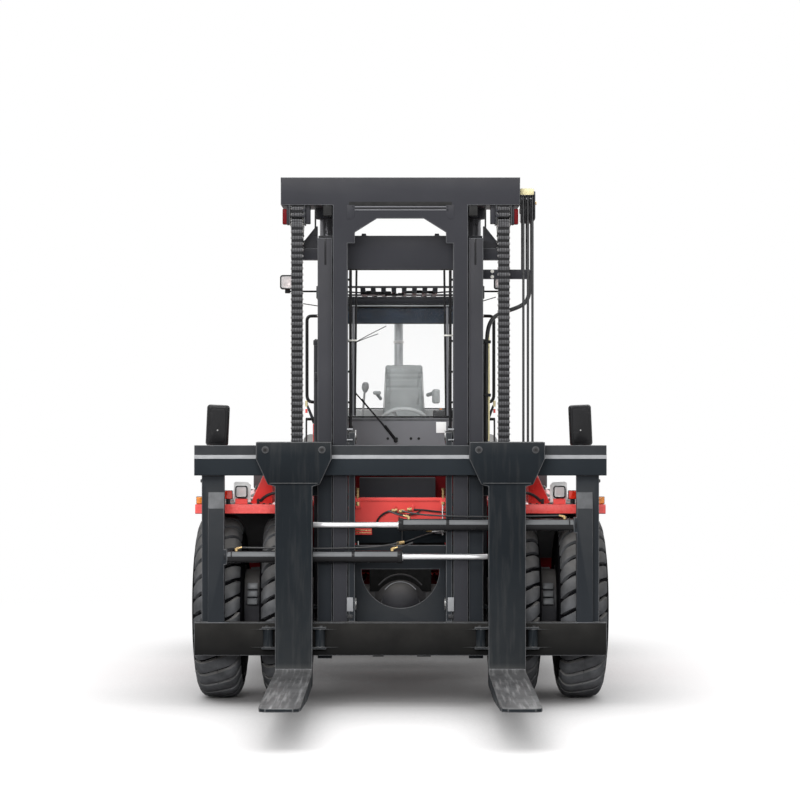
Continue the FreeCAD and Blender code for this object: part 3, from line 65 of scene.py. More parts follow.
MM = 1000
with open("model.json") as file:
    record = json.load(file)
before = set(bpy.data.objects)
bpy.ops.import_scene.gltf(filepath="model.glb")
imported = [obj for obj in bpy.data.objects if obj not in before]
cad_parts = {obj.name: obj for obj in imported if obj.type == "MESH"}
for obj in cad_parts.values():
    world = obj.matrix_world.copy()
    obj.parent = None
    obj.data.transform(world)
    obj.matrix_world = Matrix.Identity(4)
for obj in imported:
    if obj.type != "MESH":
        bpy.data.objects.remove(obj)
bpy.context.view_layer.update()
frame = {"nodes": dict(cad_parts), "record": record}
TYRE_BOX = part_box("front_tyres_left")
AXLE_Y = (TYRE_BOX[0].y + TYRE_BOX[1].y) / 2
TYRE_R = (TYRE_BOX[1].z - TYRE_BOX[0].z) / 2
REAR_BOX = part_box("rear_tyre_left")
TYRE_HALF = (REAR_BOX[1].x - REAR_BOX[0].x) * 500
TYRE_EDGE = TYRE_BOX[1].x * MM
OUTER_WHEEL = TYRE_EDGE - TYRE_HALF
INNER_WHEEL = TYRE_BOX[0].x * MM + TYRE_HALF
SIDES = (1, -1)
HANDS = (("left", 1), ("right", -1))
FULL_TURN = 2 * math.pi
WELD = 1e-5

# Places on the drawing, in millimetres.
AXLE_Z = 685
REAR_AXLE_Y = 4000
RAM_X, RAM_Y = 540, -330
CHAIN_X, CHAIN_Y, TAIL_Y = 750, -700, -500
CHAIN_LOW_Z = 1800
SHEAVE_Y, SHEAVE_Z = -600, 3505
MAST_HOSES = (892, 925, 958)
BUNDLE_Y = -510
FORK_X = 765
BARREL_Y = -790
BARREL_Z = {1: 1323, -1: 1093}
STACK_X, STACK_Y = -14, 2185
MAST_SHADE_X, MAST_SHADE_Z = 370, 1690
COWL_Z = (1668, 2080)
SEAT_Z, BACK_Z = 1872, 1962

# The seat in metres, and the back's lean and taper as shares of its height.
SEAT_MIDDLE, BACK_HEIGHT = 0.029, 0.568
BACK_LEAN, BACK_TAPER = 0.085, 0.165
BLOWN_MOST = 0.024
PIPING = 0.0035


def colour_prop(label, text, default):
    return FloatVectorProperty(name=label, description=text, subtype="COLOR", size=3, min=0, max=1,
                               default=default)


def length_prop(label, text, default):
    return FloatProperty(name=label, description=text, default=default, min=0, unit="LENGTH")


class ForkliftPaint(bpy.types.PropertyGroup):
    """Colours of the main finishes."""
    mast: colour_prop("Mast", "Anthracite paint of the mast and carriage", (0.037, 0.0375, 0.043))
    forks: colour_prop("Forks", "Paint left on the forks", (0.013, 0.016, 0.019))
    bodywork: colour_prop("Bodywork", "Red paint of the frame, wings and hood", (0.80, 0.022, 0.018))
    casting: colour_prop("Casting", "Paint of the counterweight", (0.07, 0.072, 0.076))
    rims: colour_prop("Rims", "Paint of the wheel rims", (0.42, 0.42, 0.42))
    dust: colour_prop("Dust", "Fine dust that settles on upper faces", (0.36, 0.34, 0.31))
    rubber: colour_prop("Rubber", "Tyre rubber between the lugs", (0.006, 0.006, 0.007))
    tread: colour_prop("Tread", "Scuffed faces of the tread lugs", (0.098, 0.101, 0.107))


class ForkliftSizes(bpy.types.PropertyGroup):
    """Sizes of the fine parts."""
    edge: length_prop("Plate edge", "Rounding of cut plate edges", 0.004)
    lugs: IntProperty(name="Lugs", description="Tread lugs round each half of a tyre", default=32, min=12,
                      max=60)
    groove: length_prop("Groove", "Width of the groove between two lugs", 0.022)
    lug_depth: length_prop("Lug depth", "Depth of the tread grooves", 0.026)
    chain_pitch: length_prop("Chain pitch", "Pin spacing of the leaf chains", 0.0445)
    voxel: length_prop("Seat voxel", "Mesh size of the seat cover while it is blown up", 0.008)


class ForkliftStage(bpy.types.PropertyGroup):
    """Camera and lights."""
    lens: FloatProperty(name="Lens", description="Focal length in millimetres", default=125.0, min=20,
                        max=300)
    distance: length_prop("Camera distance", "From the front axle to the camera", 20.85)
    height: length_prop("Camera height", "Height of the camera over the floor", 2.19)
    key: FloatProperty(name="Key light", description="Power of the front light", default=1150.0, min=0,
                       unit="POWER")
    sky: FloatProperty(name="Sky", description="Strength of the even light", default=0.25, min=0)


def paint():
    return bpy.context.scene.forklift_paint


def sizes():
    return bpy.context.scene.forklift_sizes


# --- finishes --------------------------------------------------------------------------
def spec(colour, rough, tone, patch, grain=0, **more):
    """One finish: its colour or the name of a live one, then its roughness, the share and scale of the
    changes in tone, the strength of its grain, and what else differs from the usual."""
    return dict(colour=colour, rough=rough, tone=tone, patch=patch, grain=grain, **more)


FINISHES = {
    "mast_paint": spec("mast", 0.5, 0.1, 1.6, 0.1, level=0.08, dust=0.12),
    # Lighter for edge wear and as a painted highlight.
    "mast_edge": spec((0.095, 0.098, 0.103), 0.42, 0.25, 14, 0.08, level=0.2),
    "bar_paint": spec((0.009, 0.009, 0.009), 0.65, 0.15, 2.5, 0.12, level=0.03, dust=0.10),
    "fork_steel": spec("forks", 0.55, 0.14, 2.2, 0.18, level=0.05, dust=0.10,
                       streak=((30, 1.2, 3), 0.25, (0.055, 0.055, 0.055))),
    # Lighter for edge wear and as a painted highlight.
    "fork_edge_wear_and_highlight": spec((0.085, 0.087, 0.09), 0.4, 0.3, 18, 0.1, metal=0.3, level=0.2),
    "blade_wear": spec((0.105, 0.105, 0.107), 0.42, 0.3, 3, 0.2, metal=0.35,
                       streak=((40, 1.5, 4), 0.6, (0.42, 0.42, 0.42))),
    # Painted highlight: light strips and rollers on the carriage, an arc on the axle and a strip under the
    # roof.
    "edge_painted_highlight": spec((0.25, 0.255, 0.265), 0.4, 0.12, 10, 0.06),
    # The carriage's own paint, used on the mast below the carriage as painted shade.
    "carriage_paint_and_shade": spec((0.022, 0.025, 0.029), 0.5, 0.1, 1.6, 0.1, level=0.06, dust=0.12),
    "cab_lining": spec((0.42, 0.43, 0.43), 0.6, 0.08, 3),
    # Painted shade: a darker grey for the top bar's lower front and the guard plate before the cross bar.
    "bar_shade": spec((0.018, 0.022, 0.026), 0.6, 0.12, 2, 0.1, level=0.05),
    # Painted light: a brighter red for the cross bar, the wings' front edges and small red blocks.
    "red_painted_light": spec((1.0, 0.11, 0.10), 0.35, 0.05, 6, 0.04, level=0.15),
    # Painted shade: the lift rods' chrome darkened to a grey.
    "ram_steel_painted_shade": spec((0.15, 0.15, 0.16), 0.28, 0.06, 4, metal=0.7),
    # Painted shade: a deep red for fronts and undersides that stand in shade.
    "red_painted_shade": spec((0.12, 0.006, 0.008), 0.5, 0.12, 3, 0.1, level=0.1),
    "red_paint": spec("bodywork", 0.3, 0.07, 1.2, 0.05, coat=0.35, dust=0.14),
    # Lighter for edge wear and as a painted highlight.
    "red_edge": spec((0.88, 0.10, 0.09), 0.28, 0.1, 10, 0.05, coat=0.3),
    "cab_dark": spec((0.036, 0.038, 0.044), 0.42, 0.1, 2, 0.08, level=0.12, dust=0.1),
    "cowl_grey": spec((0.155, 0.157, 0.168), 0.5, 0.08, 2.5, 0.1, level=0.3),
    "weight_paint": spec("casting", 0.6, 0.12, 1.5, 0.5, grain_scale=45, dust=0.2),
    "tyre_rubber": spec("rubber", 0.75, 0.3, 6, 0.3, level=0.03, grain_scale=60),
    "tread_face": spec("tread", 0.72, 0.32, 9, 0.35, level=0.06, grain_scale=70, dust=0.25),
    "rim_paint": spec("rims", 0.42, 0.1, 4, 0.08, dust=0.3),
    "rod_chrome": spec((0.88, 0.88, 0.89), 0.2, 0.04, 4, metal=0.6, spread=0.04,
                       streak=((2, 60, 60), 0.15, (0.6, 0.6, 0.6))),
    "chain_steel": spec((0.095, 0.095, 0.10), 0.5, 0.3, 30, 0.1, metal=0.15, level=0.3),
    "chain_pin": spec((0.30, 0.29, 0.28), 0.35, 0.2, 40, metal=0.9),
    "axle_paint": spec((0.034, 0.034, 0.038), 0.5, 0.25, 3, 0.25, level=0.3, grain_scale=60, dust=0.15),
    "cab_glass": spec((0.94, 0.97, 0.98), 0.04, 0.02, 2, alpha=0.025, spread=0.02),
    "visor_film": spec((0.008, 0.018, 0.036), 0.25, 0.5, 9, 0.05, alpha=0.98, level=0.08),
    "black_trim": spec((0.020, 0.020, 0.022), 0.55, 0.15, 5, 0.25, level=0.25, grain_scale=220),
    "gloss_black": spec((0.012, 0.012, 0.013), 0.22, 0.1, 4, 0.04, level=0.2),
    # Painted highlight: a light grey for the barrels' upper faces and the twin wheels' clamp blocks.
    "grey_painted_highlight": spec((0.13, 0.135, 0.14), 0.35, 0.1, 5, 0.05, level=0.3),
    "seat_vinyl": spec((0.50, 0.53, 0.53), 0.6, 0.12, 7, 0.5, grain_scale=260),
    "seat_seam": spec((0.34, 0.355, 0.355), 0.6, 0.1, 20, 0.3, grain_scale=300),
    "hose_rubber": spec((0.018, 0.018, 0.019), 0.42, 0.2, 12, 0.15, grain_scale=300),
    "engine_iron": spec((0.12, 0.12, 0.13), 0.6, 0.2, 5, 0.4, grain_scale=50, dust=0.2),
    "lamp_body": spec((0.03, 0.03, 0.032), 0.35, 0.1, 8, 0.1),
    "lamp_lens": spec((0.92, 0.90, 0.90), 0.05, 0.05, 25, 0.1, alpha=0.38, grain_scale=60),
    "lamp_bowl": spec((0.80, 0.66, 0.64), 0.12, 0.1, 30, metal=0.9, spread=0.04),
    "red_lens": spec((0.75, 0.03, 0.012), 0.12, 0.18, 40, 0.3, grain_scale=90, coat=0.5),
    "amber_lens": spec((0.95, 0.28, 0.02), 0.14, 0.15, 40, 0.3, grain_scale=90, coat=0.5),
    "white_plate": spec((0.93, 0.93, 0.92), 0.35, 0.04, 4, 0.05, dust=0.05),
    "brass": spec((0.66, 0.47, 0.22), 0.3, 0.18, 30, metal=0.85, spread=0.08),
    "zinc": spec((0.56, 0.56, 0.55), 0.33, 0.15, 25, 0.1, metal=0.9),
    "pale_zinc": spec((0.62, 0.61, 0.57), 0.4, 0.15, 20, 0.1, metal=0.35),
    "cream": spec((0.80, 0.72, 0.42), 0.5, 0.1, 14, 0.15),
    "bolt_black": spec((0.03, 0.03, 0.032), 0.36, 0.2, 30, 0.1, metal=0.4),
    "tread_plate": spec((0.10, 0.10, 0.10), 0.45, 0.3, 12, 0.6, metal=0.4, grain_scale=90, dust=0.2),
    "pale_pipe": spec((0.42, 0.44, 0.45), 0.4, 0.15, 6, 0.1, metal=0.5),
    "hot_steel": spec((0.16, 0.12, 0.09), 0.5, 0.35, 7, 0.25, metal=0.7, grain_scale=70),
    "mirror_glass": spec((0.85, 0.87, 0.88), 0.03, 0.02, 3, metal=1.0, spread=0.01),
    "dial_face": spec((0.78, 0.78, 0.74), 0.3, 0.05, 12),
    "floor_mat": spec((0.03, 0.03, 0.032), 0.8, 0.2, 9, 0.6, grain_scale=120, dust=0.3),
    # Black for black parts, and painted shade: dark sheets, holes and slots.
    "black_and_painted_shade": spec((0.006, 0.006, 0.006), 0.8, 0.1, 9, 0.1),
}


def lighter(colour, share):
    return tuple(min(1.0, c * share) for c in colour)


def feed(tree, node, inputs):
    """Links each input to a socket, or sets it to a plain value."""
    for place, value in inputs.items():
        if isinstance(value, bpy.types.NodeSocket):
            tree.links.new(value, node.inputs[place])
        else:
            node.inputs[place].default_value = value


def node_of(tree, kind, inputs=None, **settings):
    """A new shader node with its settings made and its inputs fed."""
    node = tree.nodes.new("ShaderNode" + kind)
    for name, value in settings.items():
        setattr(node, name, value)
    feed(tree, node, inputs or {})
    return node


def mix_colour(tree, factor, *colours):
    """A mix of two colours, each a socket or a plain colour."""
    first, second = (c if isinstance(c, bpy.types.NodeSocket) else (*c, 1) for c in colours)
    node = node_of(tree, "Mix", data_type="RGBA")
    feed(tree, node, {"Factor": factor, 6: first, 7: second})
    return node.outputs[2]


def noise_of(tree, where, scale, detail, low, high, to_low=0.0, to_high=1.0):
    """Noise stretched so that its low..high spans to_low..to_high."""
    speckle = node_of(tree, "TexNoise", {"Scale": scale, "Detail": detail, "Vector": where})
    span = {"From Min": low, "From Max": high, "To Min": to_low, "To Max": to_high}
    return node_of(tree, "MapRange", {**span, "Value": speckle.outputs["Fac"]}).outputs["Result"]


def math_of(tree, kind, first, second):
    """A clamped sum, product or power of two values, each a socket or a number."""
    return node_of(tree, "Math", {0: first, 1: second}, operation=kind, use_clamp=True).outputs["Value"]


def seen_by_rays(tree):
    """One for the camera's rays, and for those mirrored or seen through glass."""
    rays = node_of(tree, "LightPath").outputs
    seen = math_of(tree, "ADD", rays["Is Camera Ray"], rays["Is Glossy Ray"])
    return math_of(tree, "ADD", seen, rays["Is Transmission Ray"])


def finish(key):
    """The material of that name, made on its first use."""
    if "look_" + key in bpy.data.materials:
        return bpy.data.materials["look_" + key]
    what = FINISHES[key]
    colour = what["colour"]
    colour = tuple(getattr(paint(), colour)) if isinstance(colour, str) else colour
    mat = bpy.data.materials.new("look_" + key)
    mat.use_nodes = True
    tree = mat.node_tree
    where = node_of(tree, "TexCoord").outputs["Object"]
    tone, size = what["tone"], what["patch"]
    patch = noise_of(tree, where, size, 5, 0.3, 0.7)
    shade = mix_colour(tree, patch, lighter(colour, 1 - tone), lighter(colour, 1 + tone))
    if "streak" in what:
        stretch, share, worn = what["streak"]
        along = node_of(tree, "Mapping", {"Scale": stretch, "Vector": where}).outputs["Vector"]
        shade = mix_colour(tree, noise_of(tree, along, 1.0, 6, 0.5, 0.72, 0.0, share), shade, worn)
    if "dust" in what:
        normal = node_of(tree, "NewGeometry").outputs["Normal"]
        upward = node_of(tree, "SeparateXYZ", {"Vector": normal}).outputs["Z"]
        settled = math_of(tree, "MULTIPLY", upward, what["dust"] * 2.2)
        cloud = noise_of(tree, where, 5.0, 6, 0.25, 0.75, 0.3, 1.0)
        shade = mix_colour(tree, math_of(tree, "MULTIPLY", settled, cloud), shade, tuple(paint().dust))
    rough, spread = what["rough"], what.get("spread", 0.08)
    dull = noise_of(tree, where, size * 3, 4, 0.3, 0.7, max(0.01, rough - spread), min(1, rough + spread))
    surface = {"Base Color": shade, "Roughness": dull}
    for name, short, usual in (("Metallic", "metal", 0.0), ("Coat Weight", "coat", 0.0),
                               ("Alpha", "alpha", 1.0), ("Specular IOR Level", "level", 0.5)):
        surface[name] = what.get(short, usual)
    if what["grain"]:
        height = noise_of(tree, where, what.get("grain_scale", 150), 3, 0.2, 0.8)
        bump = node_of(tree, "Bump", {"Strength": what["grain"], "Distance": 0.002, "Height": height})
        surface["Normal"] = bump.outputs["Normal"]
    feed(tree, tree.nodes["Principled BSDF"], surface)
    return mat


# --- shaping ---------------------------------------------------------------------------
def at(x, y, z):
    """A place on the drawing, in millimetres from the front axle and floor, in the frame's metres."""
    return Vector((x / MM, AXLE_Y + y / MM, z / MM))


def settle(bm, part, mat=0, bevel=0.0, place=None, segments=2, sharp=30):
    """Rounds the sharp edges of part, gives its faces a finish place and joins it to bm."""
    if bevel:
        limit = math.radians(sharp)
        edges = [e for e in part.edges if len(e.link_faces) == 2 and e.calc_face_angle(0) > limit]
        bmesh.ops.bevel(part, geom=edges, offset=bevel, segments=segments, profile=0.5, affect="EDGES",
                        material=-1, clamp_overlap=True)
    for face in part.faces:
        face.material_index = mat
    if place is not None:
        bmesh.ops.transform(part, matrix=place, verts=part.verts)
    mesh = bpy.data.meshes.new("joined")
    part.to_mesh(mesh)
    part.free()
    bm.from_mesh(mesh)
    bpy.data.meshes.remove(mesh)


def cube(size, middle=(0, 0, 0)):
    """A plain block in a mesh of its own."""
    part = bmesh.new()
    bmesh.ops.create_cube(part, size=1.0)
    bmesh.ops.scale(part, vec=size, verts=part.verts)
    bmesh.ops.translate(part, vec=middle, verts=part.verts)
    return part


def round_off(part, axis, width, segments):
    """Rounds the edges that run along one axis."""
    edges = [e for e in part.edges if abs(e.verts[0].co[axis] - e.verts[1].co[axis]) > WELD]
    bmesh.ops.bevel(part, geom=edges, offset=width, segments=segments, profile=0.5, affect="EDGES",
                    material=-1)


def slab(bm, x0, x1, y0, y1, z0, z1, mat=0, bevel=2.0, place=None, segments=2):
    """A block between drawing places, with rounded edges."""
    low, high = at(min(x0, x1), y0, z0), at(max(x0, x1), y1, z1)
    settle(bm, cube(high - low, (low + high) / 2), mat, bevel / MM, place, segments)


def rod(bm, start, end, radius, mat=0, tip=None, sides=24, bevel=0.0):
    """A round bar, or a cone with another tip radius, between two frame places."""
    part = bmesh.new()
    way = end - start
    bmesh.ops.create_cone(part, cap_ends=True, segments=sides, radius1=radius,
                          radius2=radius if tip is None else tip, depth=way.length)
    place = Matrix.Translation((start + end) / 2) @ way.to_track_quat("Z", "Y").to_matrix().to_4x4()
    settle(bm, part, mat, bevel, place)


def pin(bm, start, shift, radius, mat=0, sides=24, bevel=0.0):
    """A round bar from a frame place, reaching a shift in millimetres from it."""
    rod(bm, start, start + Vector(shift) / MM, radius, mat, sides=sides, bevel=bevel)


def turned(bm, outline, centre, axis, mat=0, steps=48):
    """A lathe-turned shape from (radius, height) pairs along an axis."""
    part = bmesh.new()
    verts = [part.verts.new((r, 0, h)) for r, h in outline]
    edges = [part.edges.new(two) for two in zip(verts, verts[1:])]
    bmesh.ops.spin(part, geom=verts + edges, cent=(0, 0, 0), axis=(0, 0, 1), angle=FULL_TURN, steps=steps,
                   use_merge=True)
    bmesh.ops.remove_doubles(part, verts=part.verts, dist=WELD)
    bmesh.ops.recalc_face_normals(part, faces=part.faces)
    place = Matrix.Translation(centre) @ Vector(axis).to_track_quat("Z", "Y").to_matrix().to_4x4()
    settle(bm, part, mat, 0.0, place)


def plate(bm, outline, push, mat=0, bevel=2.0):
    """A flat outline of frame places, pushed out to a thickness."""
    part = bmesh.new()
    face = part.faces.new([part.verts.new(p) for p in outline])
    made = bmesh.ops.extrude_face_region(part, geom=[face])["geom"]
    bmesh.ops.translate(part, vec=push, verts=[v for v in made if isinstance(v, bmesh.types.BMVert)])
    bmesh.ops.recalc_face_normals(part, faces=part.faces)
    settle(bm, part, mat, bevel / MM)


def hose(bm, points, radius, mat=0, sides=3, detail=8):
    """A smooth tube through the drawing's points."""
    curve = bpy.data.curves.new("run", "CURVE")
    curve.dimensions = "3D"
    run = curve.splines.new("NURBS")
    run.points.add(len(points) - 1)
    for knot, point in zip(run.points, points):
        knot.co = (*at(*point), 1)
    run.order_u = min(4, len(points))
    run.use_endpoint_u = True
    run.resolution_u = detail
    curve.bevel_depth = radius
    curve.bevel_resolution = sides
    curve.use_fill_caps = True
    holder = bpy.data.objects.new("run", curve)
    mesh = bpy.data.meshes.new_from_object(holder)
    first = len(bm.faces)
    bm.from_mesh(mesh)
    bm.faces.ensure_lookup_table()
    for face in bm.faces[first:]:
        face.material_index = mat
    bpy.data.objects.remove(holder)
    bpy.data.meshes.remove(mesh)
    bpy.data.curves.remove(curve)


def bolt(bm, spot, way, radius, mat=0, height=0.7):
    """A hexagon head on a washer, standing on spot along way."""
    way = Vector(way).normalized()
    rod(bm, spot, spot + way * radius * 0.2, radius * 1.3, mat, sides=12)
    rod(bm, spot + way * radius * 0.2, spot + way * radius * (0.2 + height), radius, mat, tip=radius * 0.9,
        sides=6)


def circle(count, start=0.0):
    """Cosine and sine of evenly spaced places round a circle."""
    angles = [FULL_TURN * step / count + start for step in range(count)]
    return [(math.cos(angle), math.sin(angle)) for angle in angles]


def piece(name, bm, body, finishes, nodes=(), sharp=32):
    """Makes the finished object, and sets it on its body. A piece to blend has none."""
    mesh = bpy.data.meshes.new(name)
    bm.normal_update()
    bm.to_mesh(mesh)
    bm.free()
    obj = bpy.data.objects.new(name, mesh)
    bpy.context.scene.collection.objects.link(obj)
    for key in finishes:
        mesh.materials.append(finish(key))
    mesh.shade_smooth()
    mesh.set_sharp_from_angle(angle=math.radians(sharp))
    if body:
        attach(obj, body)
    if nodes:
        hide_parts(*nodes)
    return obj


def cad_copy(*nodes):
    """A merged copy of CAD nodes' meshes, with flat regions made whole."""
    bm = bmesh.new()
    for node in nodes:
        bm.from_mesh(frame["nodes"][node].data)
    bmesh.ops.remove_doubles(bm, verts=bm.verts, dist=WELD)
    bmesh.ops.dissolve_limit(bm, angle_limit=math.radians(0.5), verts=bm.verts, edges=bm.edges)
    return bm


def cut(bm, place, normal=(0, 0, 1)):
    """Splits the faces along a plane, so that each side can have its own finish."""
    bmesh.ops.bisect_plane(bm, geom=bm.verts[:] + bm.edges[:] + bm.faces[:], plane_co=place, plane_no=normal)


def soften(bm, width, sharp=40):
    """Rounds every sharp edge and marks the new strips with the second finish, a lighter paint for edge wear
    and a painted highlight.
    """
    for face in bm.faces:
        face.material_index = 0
    edges = [e for e in bm.edges if len(e.link_faces) == 2 and e.calc_face_angle(0) > math.radians(sharp)]
    made = bmesh.ops.bevel(bm, geom=edges, offset=width, segments=2, profile=0.5, affect="EDGES", material=-1,
                           clamp_overlap=False)
    for face in made["faces"]:
        face.material_index = 1


class Half:
    """One side of the machine, whose shapes are drawn as for its left."""

    def __init__(self, bm, side):
        self.bm = bm
        self.side = side

    def turn(self, x, y, z):
        """A place or a way on this side, mirrored from the left one."""
        return self.side * x, y, z

    def slab(self, x0, x1, *more):
        slab(self.bm, self.side * x0, self.side * x1, *more)

    def rod(self, start, end, *more, **rest):
        rod(self.bm, at(*self.turn(*start)), at(*self.turn(*end)), *more, **rest)

    def pin(self, start, shift, *more, **rest):
        pin(self.bm, at(*self.turn(*start)), self.turn(*shift), *more, **rest)

    def bolt(self, spot, way, *more):
        bolt(self.bm, at(*self.turn(*spot)), self.turn(*way), *more)

    def hose(self, points, *more):
        hose(self.bm, [self.turn(*point) for point in points], *more)


def halves(bm):
    """Both sides of the machine, its left first."""
    return [Half(bm, side) for side in SIDES]


# --- the pieces ------------------------------------------------------------------------
class Maker:
    """Shared settings of the operators below."""
    bl_options = {"REGISTER", "UNDO"}


class FORKLIFT_OT_stage(Maker, bpy.types.Operator):
    """Pale floor, soft even light, front light and the camera."""
    bl_idname = "forklift.stage"
    bl_label = "Stage and camera"

    def execute(self, context):
        stage = context.scene.forklift_stage
        scene = context.scene
        scene.view_settings.view_transform = "Standard"
        world = bpy.data.worlds.new("studio")
        scene.world = world
        world.use_nodes = True
        self.see_white(world.node_tree, stage.sky)
        bm = bmesh.new()
        bmesh.ops.create_grid(bm, x_segments=1, y_segments=1, size=60)
        mesh = bpy.data.meshes.new("floor")
        bm.to_mesh(mesh)
        bm.free()
        floor = bpy.data.objects.new("floor", mesh)
        scene.collection.objects.link(floor)
        mesh.materials.append(self.floor_finish())
        for name, spot, aim, size, power in (
            ("front_light", (-1.5, -15, 4.0), (0, -1, 1.6), (9, 3), stage.key * 1.05),
            ("high_light", (-3.0, -9.5, 8.5), (0, -1, 3.4), (7, 4), stage.key * 0.55),
            ("side_light", (8, -10, 7), (0, -1, 1.5), (6, 5), stage.key * 0.25),
            ("top_light", (0, 0.5, 12), (0, 0, 1), (8, 12), stage.key * 0.4),
            ("rear_light", (2, 13, 8), (0, 1, 1.5), (10, 6), stage.key * 0.35),
        ):
            lamp = bpy.data.lights.new(name, "AREA")
            lamp.shape = "RECTANGLE"
            lamp.size, lamp.size_y = size
            lamp.energy = power
            obj = bpy.data.objects.new(name, lamp)
            scene.collection.objects.link(obj)
            obj.location = spot
            obj.rotation_euler = (Vector(aim) - Vector(spot)).to_track_quat("-Z", "Y").to_euler()
            obj.visible_glossy = name != "front_light"
        camera = bpy.data.cameras.new("camera")
        camera.lens = stage.lens
        camera.shift_y = 0.006
        camera.clip_end = 200
        eye = bpy.data.objects.new("camera", camera)
        scene.collection.objects.link(eye)
        eye.location = (-0.003, AXLE_Y - stage.distance, stage.height)
        eye.rotation_euler = (math.radians(90), 0, 0)
        scene.camera = eye
        return {"FINISHED"}

    def see_white(self, tree, strength):
        """The camera and mirrors see white, and other rays the plain light."""
        bright = node_of(tree, "Background", {"Color": (1, 1, 1, 1), "Strength": 1.0})
        plain = tree.nodes["Background"]
        feed(tree, plain, {"Color": (0.97, 0.98, 1.0, 1), "Strength": strength})
        both = node_of(tree, "MixShader", {0: seen_by_rays(tree), 1: plain.outputs[0], 2: bright.outputs[0]})
        feed(tree, tree.nodes["World Output"], {"Surface": both.outputs[0]})

    def floor_finish(self):
        """A pale floor that the camera sees lifted to white, with the shadow left on it; the lift is dimmed
        by ambient occlusion, a painted shade under the machine.
        """
        mat = bpy.data.materials.new("floor")
        mat.use_nodes = True
        tree = mat.node_tree
        base = tree.nodes["Principled BSDF"]
        feed(tree, base, {"Base Color": (0.34, 0.33, 0.33, 1), "Roughness": 0.9, "Specular IOR Level": 0.0})
        seen = seen_by_rays(tree)
        # Ambient occlusion dims the lift: painted shade under the machine.
        open_sky = node_of(tree, "AmbientOcclusion", {"Distance": 1.7}, samples=12)
        shade = math_of(tree, "POWER", open_sky.outputs["AO"], 1.4)
        lift = math_of(tree, "MULTIPLY", math_of(tree, "MULTIPLY", seen, shade), 0.85)
        glow = node_of(tree, "Emission", {"Strength": lift})
        both = node_of(tree, "AddShader", {0: base.outputs[0], 1: glow.outputs[0]})
        spot = node_of(tree, "TexCoord").outputs["Object"]
        away = node_of(tree, "VectorMath", {0: spot}, operation="LENGTH").outputs["Value"]
        far = node_of(tree, "MapRange", {"Value": away, "From Min": 4.5, "From Max": 10.0},
                      interpolation_type="SMOOTHSTEP")
        share = math_of(tree, "MULTIPLY", far.outputs["Result"], seen)
        white = node_of(tree, "Emission")
        fade = node_of(tree, "MixShader", {0: share, 1: both.outputs[0], 2: white.outputs[0]})
        feed(tree, tree.nodes["Material Output"], {"Surface": fade.outputs[0]})
        return mat


class FORKLIFT_OT_plain_finishes(Maker, bpy.types.Operator):
    """Gives every CAD node its own finish."""
    bl_idname = "forklift.plain_finishes"
    bl_label = "Finishes on the frame's pieces"

    def execute(self, context):
        for part in frame["record"]["subparts"]:
            obj = frame["nodes"][part["node"]]
            obj.data.materials.clear()
            obj.data.materials.append(finish(part["material_slot"]))
        return {"FINISHED"}


